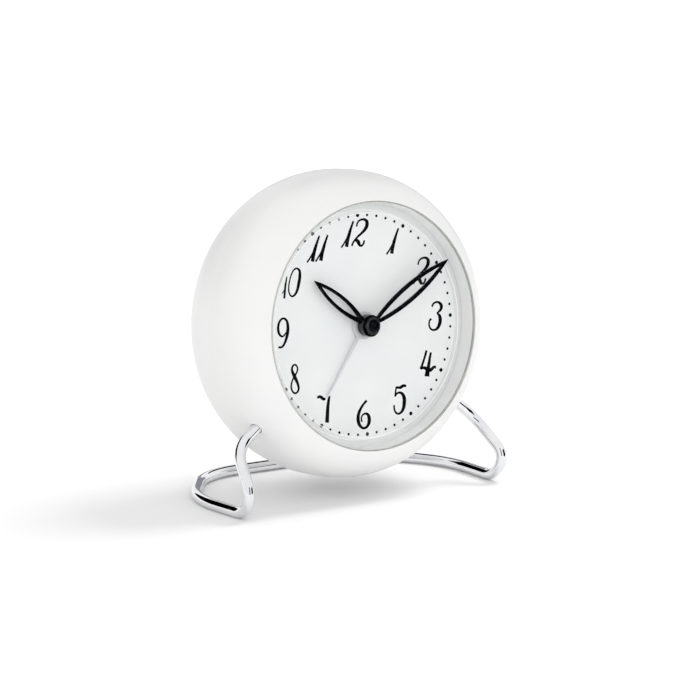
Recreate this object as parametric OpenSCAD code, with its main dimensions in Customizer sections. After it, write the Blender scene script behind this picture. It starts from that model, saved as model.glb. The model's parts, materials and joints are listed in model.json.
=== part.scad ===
// Round table clock with an alarm, on a bent rod stand. Millimetres, +Z up, front towards -Y.
// The pieces of the clock are drawn in the dial's frame: X right, Y up the dial, Z towards the viewer,
// with its origin on the hands' axis in the plane where the two halves of the case meet.

/* [Case] */
// Diameter of the case at its widest circle
case_d = 110; // [108:1:114]
// Distance from the widest circle to the front lip
case_front = 23.8; // [23.6:0.1:24]
// How far beyond the lip the front bulge would close
nose_over = 7.1; // [6.8:0.1:7.6]
// How far beyond the flat back the rear bulge would close
tail_over = 9.6; // [9:0.1:10.4]
// Fullness of the front bulge, 2 is an ellipse
nose_power_share = 2.91; // [2.8:0.01:3.1]
// Fullness of the rear bulge
tail_power_share = 2.37; // [2.3:0.01:2.6]
// Wall of both shells
shell_wall = 2.4; // [2:0.1:2.8]
// Backward tilt of the dial, degrees
tilt = 5; // [3:0.5:8]

/* [Lens and opening] */
// Width of the flat front lip
lip_w = 0.38; // [0.3:0.02:0.6]
// Width of the ledge that carries the lens
ledge_w = 0.5; // [0.3:0.1:0.8]
// Thickness of the wall between lens and dial
tube_wall = 1.6; // [1.4:0.1:1.8]
// Thickness of the lens
lens_t = 1.2; // [1:0.1:1.3]
// How far the lens stands proud of the lip
lens_proud = 0.1; // [0:0.05:0.2]
// Chamfer on the lens's front edge
lens_chamfer = 0.5; // [0.3:0.1:0.7]
// Radial gap round the lens
lens_gap = 0.1; // [0.05:0.05:0.15]
// Thickness of the seal under the lens
seal_t = 0.3; // [0.2:0.1:0.4]

/* [Dial] */
// Depth of the dial's face below the front lip
dial_depth = 8.5; // [8.4:0.1:8.6]
// Thickness of the dial
dial_t = 1; // [0.8:0.1:1.2]
// How far the wall's end laps the dial's edge
dial_lap = 1.2; // [0.8:0.1:1.3]
// Width of the clear ring
guide_w = 3.9; // [3.4:0.1:4.4]
// Height of the clear ring
guide_h = 3.6; // [3.2:0.1:3.8]
// Radial gap round the clear ring
guide_gap = 0.2; // [0.1:0.05:0.3]

/* [Hands] */
// How far the minute hand reaches over the clear ring
minute_over = 1.3; // [-1:0.1:1.6]
// How much shorter the hour hand is than the minute hand
hour_short = 12.8; // [10:0.2:14]
// How much shorter the alarm hand is than the minute hand
alarm_short = 11.6; // [9:0.2:14]
// Half width of the minute hand's leaf
minute_half_w = 3.25; // [3:0.05:3.5]
// Half width of the hour hand's leaf
hour_half_w = 2.6; // [2.4:0.05:2.8]
// Half width of the leaf's opening, minute hand
minute_slot_half_w = 1.7; // [1.5:0.05:1.8]
// Half width of the leaf's opening, hour hand
hour_slot_half_w = 1.35; // [1.2:0.05:1.45]
// Angle of the minute hand at rest, degrees clockwise from the top
minute_angle = 59.4; // [0:0.2:359.8]
// Angle of the hour hand at rest
hour_angle = 309.2; // [0:0.2:359.8]
// Angle of the alarm hand at rest
alarm_angle = 216.2; // [0:0.2:359.8]
// Thickness of a black hand
hand_t = 0.7; // [0.5:0.1:0.8]
// Thickness of the alarm hand
alarm_hand_t = 0.6; // [0.4:0.1:0.7]
// Width of the alarm hand at its root
alarm_root_w = 1.3; // [1:0.1:1.6]
// Width of the alarm hand at its tip
alarm_tip_w = 0.7; // [0.5:0.1:0.9]
// Radius of the alarm hand's hub
alarm_hub_r = 4.9; // [4.6:0.1:5.2]
// Radius of the hour hand's hub
hour_hub_r = 3.9; // [3.7:0.1:4.1]
// Radius of the minute hand's hub
minute_hub_r = 3.9; // [3.7:0.1:4.1]
// Radius of the centre cap
cap_r = 2.5; // [2.3:0.05:2.6]
// Height of the centre cap above the minute hand
cap_h = 1.6; // [1.4:0.1:1.7]
// Height of the alarm hand's underside above the dial
alarm_lift = 0.9; // [0.8:0.1:1]
// Height of the hour hand's underside above the dial
hour_lift = 2.5; // [2.4:0.1:2.7]
// Height of the minute hand's underside above the dial
minute_lift = 4.8; // [4.7:0.1:4.9]

/* [Stand] */
// Diameter of the rod
rod_d = 4; // [3.6:0.1:4.2]
// Angle of the rod's sockets below the horizontal, degrees
socket_angle = 36.8; // [34:0.2:40]
// Distance of the sockets' axis in front of the widest circle
socket_fwd = 10.4; // [10:0.2:11]
// How far the rod runs out of the case before its first bend
knee_out = 9.5; // [8.5:0.5:11]
// Gap between the case's lowest point and the table, before the tilt
table_gap = 5.55; // [5:0.05:7]
// Front bends outside the case's widest circle
front_bend_out = 0.3; // [-1:0.1:2]
// Front bends ahead of the case's lip
front_bend_fwd = 4.2; // [3.4:0.1:5]
// Height of the front bends
front_bend_h = 10.3; // [9.5:0.1:11]
// Lower bends, where the rod meets the table, inside the case's widest circle
toe_in = 0.9; // [0:0.1:2]
// Lower bends behind the front bends
toe_back = 5.4; // [5:0.1:6]
// Side bends outside the case's widest circle
side_bend_out = 0.8; // [0:0.1:2]
// Side bends behind the hands' axis
side_bend_back = 7.7; // [6:0.1:9]
// Rear bends inside the case's widest circle
rear_bend_in = 21.9; // [20:0.1:23]
// Rear bar behind the case's flat back
rear_bar_out = 11.8; // [11:0.1:14]
// Bend radius at the knee
knee_bend_r = 12; // [10:0.5:13]
// Bend radius at the front bend
front_bend_r = 5.5; // [5:0.1:5.6]
// Bend radius at the lower bend
toe_bend_r = 8.5; // [8:0.1:8.6]
// Bend radius at the side bend
side_bend_r = 38; // [34:0.5:39]
// Bend radius at the rear bend
rear_bend_r = 29.5; // [26:0.5:31]

/* [Movement] */
// Depth of the movement's housing
movement_depth = 16.1; // [15.8:0.1:16.4]
// Gap between the widest wheels and the housing's walls
box_gap = 1.44; // [1:0.02:1.7]
// Wall of the housing
box_wall = 1.5; // [1.2:0.1:1.6]
// Thickness of the chassis plate
chassis_t = 2.2; // [2:0.1:2.4]
// Radial gap between the chassis plate and the wall round the lens
chassis_gap = 0.2; // [0.1:0.05:0.4]
// Thickness of a wheel
wheel_t = 0.9; // [0.7:0.1:1]
// Distance from one wheel to the next
layer_pitch = 1.4; // [1.35:0.05:1.45]
// Module of the motion and alarm wheels, pitch diameter over teeth
motion_module = 0.7; // [0.68:0.01:0.72]
// Module of the centre wheel
centre_module = 0.375; // [0.37:0.005:0.38]
// Module of the third wheel
third_module = 0.3; // [0.29:0.005:0.31]
// Module of the fourth and fifth wheels
train_module = 0.28; // [0.27:0.005:0.29]
// Radius of the minute arbor
arbor_r = 1; // [0.9:0.05:1.1]
// Outer radius of the hour wheel's tube
hour_tube_r = 1.8; // [1.7:0.05:1.9]
// Outer radius of the alarm wheel's tube
alarm_tube_r = 2.6; // [2.5:0.05:2.7]
// Outer radius of the threaded neck
neck_r = 3.6; // [3.5:0.05:3.7]
// Radius of the knobs' shafts
shaft_r = 1.5; // [1.4:0.05:1.6]
// Radius of the train's arbors
pivot_r = 0.5; // [0.45:0.05:0.55]
// Radial play of a running fit
run_gap = 0.05; // [0.03:0.01:0.08]

/* [Back] */
// Radius of the knobs
knob_r = 8.5; // [8:0.1:9]
// Height of the knobs
knob_h = 5.4; // [5:0.1:6]
// Gap between the movement and the battery bay
bay_gap = 1.5; // [1.2:0.1:2]
// Gap between a moving piece on the back and the case
play = 0.3; // [0.2:0.05:0.4]
// Radius of the battery
battery_r = 7.25; // [7:0.05:7.3]
// Length of the battery with its nub
battery_len = 50.5; // [49:0.1:50.6]
// Height of the battery's axis below the hands' axis
battery_drop = 20.5; // [20.3:0.1:21]
// Room at the battery's end for its contacts and spring
spring_room = 5.1; // [4.8:0.1:5.4]
// Gap above and below the battery
battery_gap = 0.45; // [0.3:0.05:0.6]
// Depth of the battery's bay beyond its thickness, which leaves room for the door
bay_over = 4.8; // [4.5:0.1:5.4]
// Thickness of the battery door
door_t = 1.6; // [1.4:0.1:1.8]
// Width of the snooze button
snooze_w = 26; // [22:0.5:28]
// Height of the snooze button
snooze_h = 8; // [7:0.5:8.5]
// Height of the snooze button's centre above the axis
snooze_up = 28; // [27:0.5:29]
// Travel of the snooze button
snooze_travel = 1.2; // [1:0.1:1.3]
// Height of the alarm switch above the axis
switch_up = 14; // [13.5:0.5:15]
// Travel of the alarm switch
switch_travel = 4; // [3:0.5:4.5]

/* [Hidden] */
$fn = 96;
over = 0.5;
PROFILE_STEPS = 18;

// Stations along the axis, measured forward from the widest circle
case_r = case_d / 2;
bay_wall = 1.4;
bay_half_l = (battery_len + spring_room) / 2;
bay_half_h = battery_r + battery_gap;
bay_depth = 2 * battery_r + bay_over;
case_back = dial_depth + dial_t + chassis_t + movement_depth + bay_gap + bay_wall + bay_depth - case_front;
nose_len = case_front + nose_over;
tail_len = case_back + tail_over;
lens_z = case_front + lens_proud;
seal_z = lens_z - lens_t;
ledge_z = seal_z - seal_t;
dial_z = case_front - dial_depth;
chassis_z = dial_z - dial_t;
movement_z = chassis_z - chassis_t;
plate_z = movement_z - box_wall;
back_z = -case_back;
inner_back_z = back_z + shell_wall;
split_depth = 9.1;
movement_split_z = movement_z - split_depth;
movement_back_z = movement_z - movement_depth;
cover_z = movement_back_z + box_wall;

// Radii that follow the case
lip_r = bulge_r(case_front, case_r, nose_len, nose_power_share);
opening_r = lip_r - lip_w;
tube_r = opening_r - ledge_w;
tube_out_r = tube_r + tube_wall;
dial_r = tube_r + dial_lap;
guide_r = tube_r - guide_w;
chassis_r = tube_r - chassis_gap;
minute_len = guide_r + minute_over;
hour_len = minute_len - hour_short;
alarm_len = minute_len - alarm_short;
front_inner_r = case_r - shell_wall;
front_inner_len = nose_len - shell_wall;
rear_inner_len = tail_len - shell_wall;
back_inner_r = bulge_r(-inner_back_z, front_inner_r, rear_inner_len, tail_power_share);
axis_h = case_r + table_gap;

// Radius of a bulge at a distance along the axis, and the distance at a radius
function bulge_r(z, r, len, fullness) = r * pow(1 - pow(z / len, fullness), 1 / fullness);
function bulge_z(at_r, r, len, fullness) = len * pow(1 - pow(at_r / r, fullness), 1 / fullness);
// Outline of a bulge from one station to another, as radius and distance
function bulge(r, len, fullness, from_z, to_z) =
    let (a = asin(pow(from_z / len, fullness / 2)), b = asin(pow(to_z / len, fullness / 2)))
    [for (i = [0 : PROFILE_STEPS]) let (t = a + (b - a) * i / PROFILE_STEPS)
        [r * pow(cos(t), 2 / fullness), len * pow(sin(t), 2 / fullness)]];
function backwards(points) = [for (i = [len(points) - 1 : -1 : 0]) points[i]];
function behind(points) = [for (p = points) [p[0], -p[1]]];
function polar(r, angle) = [r * cos(angle), r * sin(angle)];

// Ring or disc along the axis between two stations
module ring(r, z0, z1, bore = 0) {
    translate([0, 0, min(z0, z1)]) difference() {
        cylinder(r = r, h = abs(z1 - z0));
        if (bore > 0) translate([0, 0, -over]) cylinder(r = bore, h = abs(z1 - z0) + 2 * over);
    }
}
// Box between two stations, centred on a place of the dial
module slab(size, z0, z1) {
    translate([-size[0] / 2, -size[1] / 2, min(z0, z1)]) cube([size[0], size[1], abs(z1 - z0)]);
}
// Bar with round ends between two stations
module stadium(w, h, z0, z1) {
    slab([w - h, h], z0, z1);
    for (side = [-1, 1]) translate([side * (w - h) / 2, 0, 0]) ring(h / 2, z0, z1);
}
module at(place) { translate([place[0], place[1], 0]) children(); }
// Places the dial's frame on the stand
module clock_frame() {
    translate([0, axis_y, axis_h]) rotate([-tilt, 0, 0]) rotate([90, 0, 0]) children();
}

// Toothed wheels: outline of one wheel, and the phase that puts it in mesh with the one before it
tooth_root_share = 0.21;
tooth_tip_share = 0.09;
addendum_share = 0.8;
dedendum_share = 1.15;
function teeth(count, modulus, phase) =
    let (pitch_r = count * modulus / 2, step = 360 / count,
         root = pitch_r - dedendum_share * modulus, tip = pitch_r + addendum_share * modulus)
    [for (i = [0 : count - 1]) let (a = phase + i * step)
        for (p = [[root, -tooth_root_share], [tip, -tooth_tip_share],
                  [tip, tooth_tip_share], [root, tooth_root_share]])
            polar(p[0], a + p[1] * step)];
function wheel_tip(count, modulus) = (count / 2 + addendum_share) * modulus;
function mesh_phase(phase, count, direction, mate) =
    direction + 180 - (phase - direction) * count / mate + 180 / mate;
module wheel(count, modulus, phase, layer, bore = 0, thick = wheel_t) {
    difference() {
        translate([0, 0, layer_z(layer) - thick]) linear_extrude(thick)
            polygon(teeth(count, modulus, phase));
        if (bore > 0) ring(bore, layer_z(layer) + over, layer_z(layer) - thick - over);
    }
}
// Front face of a wheel's layer, counted from the movement's front plate
layer_gap = 0.3;
function layer_z(layer) = plate_z - layer_gap - layer * layer_pitch;

// Teeth, wheel centres and meshes of the movement
motion_teeth = 30;
minute_teeth = 10;
hour_teeth = 40;
centre_teeth = 60;
third_teeth = 64;
fourth_teeth = 48;
fifth_teeth = 40;
leaf_teeth = 8;
motion_dist = (motion_teeth + minute_teeth) * motion_module / 2;
hour_module = 2 * motion_dist / (hour_teeth + minute_teeth);
third_dist = (centre_teeth + leaf_teeth) * centre_module / 2;
fourth_dist = (third_teeth + leaf_teeth) * third_module / 2;
fifth_dist = (fourth_teeth + leaf_teeth) * train_module / 2;
rotor_dist = (fifth_teeth + leaf_teeth) * train_module / 2;
third_dir = 90;
fourth_dir = 160;
fifth_dir = 75;
rotor_dir = 10;
motion_at = [motion_dist, 0];
alarm_at = [-motion_dist, 0];
third_at = polar(third_dist, third_dir);
fourth_at = third_at + polar(fourth_dist, fourth_dir);
fifth_at = fourth_at + polar(fifth_dist, fifth_dir);
rotor_at = fifth_at + polar(rotor_dist, rotor_dir);
pivot_places = [third_at, fourth_at, fifth_at, rotor_at];
pivot_depth = 0.8;

// Case
lap_len = 2;
lap_gap = 0.1;
lap_wall = 1.2;
lap_root = 5;
chassis_post_r = 2.6;
chassis_post_sink = 0.2;
chassis_post_at = tube_out_r + chassis_post_r - chassis_post_sink;
chassis_post_top = bulge_z(chassis_post_at, front_inner_r, front_inner_len, nose_power_share);
chassis_post_angles = [90, 195, 345];
screw_r = 1.2;
screw_head_r = 2.4;
screw_head_h = 1.5;
ear_hole_r = 1.5;
ear_r = 2.4;
ear_neck_half_w = 2.1;
ear_root = 0.9;
case_post_r = 3;
case_post_gap = 0.35;
case_post_angle = 25.2;
case_post = polar(back_inner_r - case_post_r - case_post_gap, case_post_angle);
rod_r = rod_d / 2;
rod_hole_gap = 0.2;
sleeve_wall = 1;
sleeve_r = rod_r + sleeve_wall;
sleeve_seat = 0.2;
sleeve_top_r = bulge_r(socket_fwd, front_inner_r, front_inner_len, nose_power_share) + sleeve_seat;
socket_wall = 0.7;
socket_wall_r = sleeve_r + socket_wall;
socket_clear = 1.4;
socket_in_r = chassis_r + socket_clear;
socket_skin = 2.5;
socket_out_r = case_r - socket_skin;
rod_inset = 0.4;
rod_end_r = socket_in_r + rod_inset;
sound_hole_r = 0.9;
sound_pitch = 3.4;
buzzer_r = 7.5;
buzzer_h = 3.2;
buzzer_inset = 5;
buzzer_angle = 39.3;
buzzer_at = polar(back_inner_r - buzzer_r - buzzer_inset, buzzer_angle);
shaft_hole_gap = 0.6;
shaft_hole_r = shaft_r + shaft_hole_gap;
knob_lift = 0.4;
knob_z = back_z - knob_lift;

module socket_axis(side) {
    translate([0, 0, socket_fwd])
        rotate([0, 0, side < 0 ? 180 + socket_angle : -socket_angle]) rotate([0, 90, 0]) children();
}
module front_case() {
    inner_top = bulge_z(tube_out_r, front_inner_r, front_inner_len, nose_power_share);
    color("white") clock_frame() difference() {
        union() {
            rotate_extrude() polygon(concat(
                bulge(case_r, nose_len, nose_power_share, 0, case_front),
                [[opening_r, case_front], [opening_r, ledge_z], [tube_r, ledge_z],
                 [tube_r, dial_z], [tube_out_r, dial_z]],
                backwards(bulge(front_inner_r, front_inner_len, nose_power_share, 0, inner_top))));
            for (a = chassis_post_angles) at(polar(chassis_post_at, a))
                ring(chassis_post_r, chassis_z, chassis_post_top);
            for (side = [-1, 1]) socket_axis(side) ring(socket_wall_r, socket_in_r, socket_out_r);
        }
        for (a = chassis_post_angles) at(polar(chassis_post_at, a))
            ring(screw_r, chassis_z - over, chassis_z + chassis_screw_l);
        for (side = [-1, 1]) socket_axis(side) {
            ring(sleeve_r, socket_in_r - over, sleeve_top_r);
            ring(rod_r + rod_hole_gap, socket_in_r, case_r + over);
        }
    }
}
door_gap = 0.3;
door_lap_l = 0.6;
door_lap_h = 0.7;
door_half_l = bay_half_l + door_lap_l;
door_half_h = bay_half_h + door_lap_h;
hinge_r = door_t / 2;
hinge_pin_r = 0.6;
hinge_pin_l = 1.2;
hinge_y = -battery_drop - door_half_h + hinge_r;
hinge_z = back_z + hinge_r;
door_top = -battery_drop + door_half_h;
button_hole_w = snooze_w + 2 * play;
button_hole_h = snooze_h + 2 * play;
slider_w = 4;
slider_h = 3;
post_small_r = 1.5;
post_root = 0.5;
slider_plate = [10, 5.4];
slider_plate_t = 0.8;
switch_post_x = (slider_plate[0] + switch_travel) / 2 + post_small_r + play;
switch_face_z = inner_back_z + play + slider_plate_t + play;
flange_t = 1.2;
flange_over = 1;
plunger_h = 2.5;
plunger_gap = 0.4;
snooze_post_x = snooze_w / 2 + flange_over + play + post_small_r;
snooze_board_z = inner_back_z + play + flange_t + snooze_travel + plunger_gap + plunger_h;
switch_hole_w = slider_w + switch_travel + 2 * play;

module rear_case() {
    lap_r = front_inner_r - lap_gap;
    inner_end = -inner_back_z;
    color("white") clock_frame() difference() {
        union() {
            rotate_extrude() polygon(concat(
                [[lap_r, lap_len], [lap_r - lap_wall, lap_len], [lap_r - lap_wall, -lap_root]],
                behind(bulge(front_inner_r, rear_inner_len, tail_power_share, lap_root, inner_end)),
                [[0, inner_back_z], [0, back_z]],
                behind(backwards(bulge(case_r, tail_len, tail_power_share, 0, case_back))),
                [[lap_r, 0]]));
            translate([0, -battery_drop, 0])
                slab([2 * (bay_half_l + bay_wall), 2 * (bay_half_h + bay_wall)],
                     back_z + bay_depth + bay_wall, inner_back_z - post_root);
            for (side = [-1, 1]) {
                at([side * switch_post_x, switch_up])
                    ring(post_small_r, switch_face_z, inner_back_z - post_root);
                at([side * snooze_post_x, snooze_up])
                    ring(post_small_r, snooze_board_z, inner_back_z - post_root);
            }
        }
        translate([0, -battery_drop, 0]) {
            slab([2 * bay_half_l, 2 * bay_half_h], back_z + bay_depth, back_z - over);
            slab([2 * (door_half_l + door_gap), 2 * (door_half_h + door_gap)], back_z + door_t + door_gap,
                 back_z - over);
        }
        translate([-door_half_l - hinge_pin_l - door_gap, hinge_y, hinge_z]) rotate([0, 90, 0])
            cylinder(r = hinge_pin_r + run_gap, h = 2 * (door_half_l + hinge_pin_l + door_gap));
        for (place = [motion_at, alarm_at]) at(place) ring(shaft_hole_r, inner_back_z + over, back_z - over);
        at([0, snooze_up]) stadium(button_hole_w, button_hole_h, inner_back_z + over, back_z - over);
        at([0, switch_up]) slab([switch_hole_w, slider_h + 2 * play], inner_back_z + over, back_z - over);
        for (x = [-1, 1], y = [-1, 1]) at([x * case_post[0], y * case_post[1]]) {
            ring(screw_r + play, inner_back_z + over, back_z - over);
            ring(screw_head_r + play, back_z + screw_head_h, back_z - over);
        }
        at(buzzer_at) {
            ring(sound_hole_r, inner_back_z + over, back_z - over);
            for (a = [0 : 60 : 300]) at(polar(sound_pitch, a))
                ring(sound_hole_r, inner_back_z + over, back_z - over);
        }
    }
}

// Lens, light ring and dial
lens_r = opening_r - lens_gap;
guide_out_r = tube_r - guide_gap;
guide_shoulder_h = 1.3;
guide_foot_in = 1.1;
module lens() {
    color("aliceblue", 0.3) clock_frame() rotate_extrude() polygon([[0, seal_z], [lens_r, seal_z],
        [lens_r, lens_z - lens_chamfer], [lens_r - lens_chamfer, lens_z], [0, lens_z]]);
}
module lens_seal() {
    color("dimgray") clock_frame() ring(lens_r, ledge_z, seal_z, tube_r);
}
module light_guide() {
    color("aliceblue", 0.5) clock_frame() rotate_extrude() polygon([[guide_r + guide_foot_in, dial_z],
        [guide_out_r, dial_z], [guide_out_r, dial_z + guide_shoulder_h], [guide_r, dial_z + guide_h]]);
}
neck_gap = 0.15;
module dial() {
    color("whitesmoke") clock_frame() ring(dial_r, chassis_z, dial_z, neck_r + neck_gap);
}

// Chassis, its screws and the light board
board_inset = 1.6;
board_w = 4.6;
board_out_r = chassis_r - board_inset;
board_in_r = board_out_r - board_w;
board_gap = 0.2;
board_t = 0.8;
led = [2, 1.6];
led_h = 0.6;
led_r = (board_in_r + board_out_r) / 2;
board_z = chassis_z - led_h;
nut_r = 5;
nut_t = 1;
nut_gap = 0.3;
nut_sink = 0.25;
module chassis() {
    color("gainsboro") clock_frame() difference() {
        union() {
            ring(chassis_r, movement_z, chassis_z);
            for (a = chassis_post_angles) rotate([0, 0, a]) {
                translate([chassis_r - ear_root, -ear_neck_half_w, movement_z])
                    cube([chassis_post_at - chassis_r + ear_root, 2 * ear_neck_half_w, chassis_t]);
                at([chassis_post_at, 0]) ring(ear_r, movement_z, chassis_z);
            }
            for (x = [-1, 1], y = [-1, 1]) at([x * case_post[0], y * case_post[1]])
                ring(case_post_r, inner_back_z, movement_z + post_root);
        }
        ring(neck_r + neck_gap, movement_z - over, chassis_z + over);
        ring(nut_r + nut_gap, chassis_z - nut_t, chassis_z + over);
        ring(board_out_r + board_gap, board_z - board_t, chassis_z + over, board_in_r - board_gap);
        for (a = chassis_post_angles) at(polar(chassis_post_at, a))
            ring(ear_hole_r, movement_z - over, chassis_z + over);
        for (x = [-1, 1], y = [-1, 1]) at([x * case_post[0], y * case_post[1]])
            ring(screw_r, inner_back_z - over, inner_back_z + case_screw_l);
    }
}
chassis_screw_l = 3;
case_screw_l = 8;
module screw(z, length, up) {
    ring(screw_r, z, z + up * length);
    difference() {
        ring(screw_head_r, z, z - up * screw_head_h);
        for (a = [0, 90]) rotate([0, 0, a])
            slab([2 * screw_r, screw_slot_w], z - up * (screw_head_h - screw_slot_d),
                 z - up * (screw_head_h + over));
    }
}
screw_slot_w = 0.6;
screw_slot_d = 0.7;
module chassis_screws() {
    color("silver") clock_frame() for (a = chassis_post_angles) at(polar(chassis_post_at, a))
        screw(movement_z, chassis_t + chassis_screw_l, 1);
}
module case_screws() {
    color("silver") clock_frame() for (x = [-1, 1], y = [-1, 1])
        at([x * case_post[0], y * case_post[1]])
            screw(back_z + screw_head_h, shell_wall - screw_head_h + case_screw_l, 1);
}
module light_board() {
    color("seagreen") clock_frame() ring(board_out_r, board_z - board_t, board_z, board_in_r);
}
module light_leds() {
    color("khaki") clock_frame() for (a = [45 : 90 : 315]) at(polar(led_r, a)) slab(led, board_z, chassis_z);
}

// Movement housing
neck_proud = 0.6;
neck_top = dial_z + neck_proud;
centre_post_r = 2.2;
centre_post_z = layer_z(3) - wheel_t - layer_gap;
stator_post_shares = [0.44, 0.9];
inner_post_r = 1.2;
pole_half_w = 3.6;
pcb_lift = 1.5;
pcb_t = 0.8;
pcb_z = cover_z + pcb_lift + pcb_t;
pcb_gap = 0.5;
pcb_top = 9.5;
pcb_bottom = 14;
board_post_inset = 3.2;
box_half_w = motion_dist + wheel_tip(motion_teeth, motion_module) + box_gap + box_wall;
pcb_half_w = box_half_w - box_wall - pcb_gap;
board_posts = [for (x = [-1, 1], y = [pcb_top - board_post_inset, board_post_inset - pcb_bottom])
    [x * (pcb_half_w - board_post_inset), y]];
box_top = rotor_at[1] + pole_half_w + box_gap + box_wall;
box_bottom = pcb_bottom + pcb_gap + box_wall;
box_h = box_top + box_bottom;
box_mid = (box_top - box_bottom) / 2;
module housing(z_closed, z_open) {
    inner = z_closed > z_open ? z_closed - box_wall : z_closed + box_wall;
    at([0, box_mid]) difference() {
        slab([2 * box_half_w, box_h], z_closed, z_open);
        slab([2 * (box_half_w - box_wall), box_h - 2 * box_wall], inner,
             z_open + sign(z_open - z_closed) * over);
    }
}
module movement_front() {
    color("ivory") clock_frame() difference() {
        union() {
            housing(movement_z, movement_split_z);
            ring(neck_r, plate_z, neck_top);
            for (share = stator_post_shares)
                at([arm_left + share * (stator_right - arm_left), rotor_at[1]])
                    ring(inner_post_r, plate_z + post_root, stator_z);
        }
        ring(alarm_tube_r + run_gap, plate_z - over, neck_top + over);
        for (place = concat(pivot_places, [motion_at, alarm_at])) at(place)
            ring(pivot_r + run_gap, plate_z - over, plate_z + pivot_depth);
    }
}
module movement_back() {
    color("ivory") clock_frame() difference() {
        union() {
            housing(movement_back_z, movement_split_z);
            ring(centre_post_r, cover_z - post_root, centre_post_z);
            for (place = board_posts) at(place) ring(inner_post_r, cover_z - post_root, pcb_z - pcb_t);
        }
        ring(arbor_r + run_gap, centre_post_z - arbor_seat - layer_gap, centre_post_z + over);
        for (place = pivot_places) at(place) ring(pivot_r + run_gap, cover_z + over, cover_z - pivot_depth);
        for (place = [motion_at, alarm_at]) at(place)
            ring(shaft_r + run_gap, cover_z + over, movement_back_z - over);
    }
}
module movement_nut() {
    color("silver") clock_frame() difference() {
        ring(nut_r, chassis_z - nut_t, chassis_z - nut_sink, $fn = 6);
        ring(neck_r, chassis_z - nut_t - over, chassis_z + over);
    }
}

// Hand shafts and the wheels of the motion work
arbor_seat = 1.5;
cap_skin = 0.6;
arbor_top = dial_z + minute_lift + hand_t + cap_h - cap_skin;
alarm_bore = hour_tube_r + run_gap;
hour_bore = arbor_r + run_gap;
module minute_arbor() {
    color("goldenrod") clock_frame() {
        ring(arbor_r, centre_post_z - arbor_seat, arbor_top);
        wheel(minute_teeth, motion_module, 0, 2);
    }
}
module hour_wheel() {
    color("goldenrod") clock_frame() {
        wheel(hour_teeth, hour_module, mesh_phase(0, minute_teeth, 180, hour_teeth), 1, hour_bore);
        ring(hour_tube_r, layer_z(1) - wheel_t, dial_z + hour_lift + hand_t, hour_bore);
    }
}
module alarm_wheel() {
    color("goldenrod") clock_frame() {
        wheel(motion_teeth, motion_module, 0, 0, alarm_bore);
        ring(alarm_tube_r, layer_z(0) - wheel_t, dial_z + alarm_lift + alarm_hand_t, alarm_bore);
    }
}
pivot_play = 0.1;
pivot_end = pivot_depth - pivot_play;
knob_skin = 1;
shaft_end_z = knob_z - knob_h + knob_skin;
module knob_shaft(from_z) {
    ring(pivot_r, from_z, plate_z + pivot_end);
    ring(shaft_r, from_z, shaft_end_z);
}
module motion_wheel() {
    color("goldenrod") clock_frame() at(motion_at) {
        knob_shaft(layer_z(1));
        wheel(minute_teeth, hour_module, 0, 1);
        wheel(motion_teeth, motion_module, mesh_phase(0, minute_teeth, 0, motion_teeth), 2);
    }
}
module alarm_pinion() {
    color("goldenrod") clock_frame() at(alarm_at) {
        knob_shaft(layer_z(0));
        wheel(minute_teeth, motion_module, mesh_phase(0, motion_teeth, 180, minute_teeth), 0);
    }
}

// Going train: each arbor carries a small pinion and a large wheel
module train_wheel(place, pinion_layer, pinion_module, pinion_phase, count, modulus) {
    color("goldenrod") clock_frame() at(place) {
        ring(pivot_r, cover_z - pivot_end, plate_z + pivot_end);
        wheel(leaf_teeth, pinion_module, pinion_phase, pinion_layer, thick = layer_pitch);
        if (count > 0) wheel(count, modulus, 0, pinion_layer + 1);
    }
}
module centre_wheel() {
    color("goldenrod") clock_frame() wheel(centre_teeth, centre_module, 0, 3, arbor_r + run_gap);
}
module third_wheel() {
    train_wheel(third_at, 3, centre_module, mesh_phase(0, centre_teeth, third_dir, leaf_teeth),
                third_teeth, third_module);
}
module fourth_wheel() {
    train_wheel(fourth_at, 4, third_module, mesh_phase(0, third_teeth, fourth_dir, leaf_teeth),
                fourth_teeth, train_module);
}
module fifth_wheel() {
    train_wheel(fifth_at, 5, train_module, mesh_phase(0, fourth_teeth, fifth_dir, leaf_teeth),
                fifth_teeth, train_module);
}

// Stepping motor
magnet_r = 2.2;
magnet_gap = 0.4;
stator_rise = 0.1;
stator_z = layer_z(3) + stator_rise;
stator_t = 1.1;
magnet_t = 1.7;
stator_inset = 1.5;
stator_right = box_half_w - box_wall - stator_inset;
arm_left = rotor_at[0] - pole_half_w;
coil_drop = 8.7;
coil_y = rotor_at[1] - coil_drop;
coil_gap = 1.36;
coil_left = wheel_tip(third_teeth, third_module) + coil_gap;
coil_r = 3.3;
coil_flange_t = 0.8;
core_half_w = 1.2;
module rotor() {
    train_wheel(rotor_at, 6, train_module, mesh_phase(0, fifth_teeth, rotor_dir, leaf_teeth), 0, 0);
    color("dimgray") clock_frame() at(rotor_at)
        ring(magnet_r, stator_z - stator_t / 2 - magnet_t / 2, stator_z - stator_t / 2 + magnet_t / 2);
}
module stator() {
    color("slategray") clock_frame() difference() {
        union() {
            translate([arm_left, rotor_at[1] - pole_half_w, stator_z - stator_t])
                cube([stator_right - arm_left, 2 * pole_half_w, stator_t]);
            translate([coil_left - core_half_w, coil_y - core_half_w, stator_z - stator_t])
                cube([stator_right - coil_left + core_half_w, 2 * core_half_w, stator_t]);
            for (x = [coil_left - core_half_w, stator_right - core_half_w])
                translate([x, coil_y - core_half_w, stator_z - stator_t])
                    cube([core_half_w, rotor_at[1] - coil_y, stator_t]);
        }
        at(rotor_at) ring(magnet_r + magnet_gap, stator_z + over, stator_z - stator_t - over);
    }
}
coil_right = stator_right - core_half_w;
coil_core_r = 1.9;
coil_z = stator_z - stator_t / 2;
module coil_axis(x) { translate([x, coil_y, coil_z]) rotate([0, 90, 0]) children(); }
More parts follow.
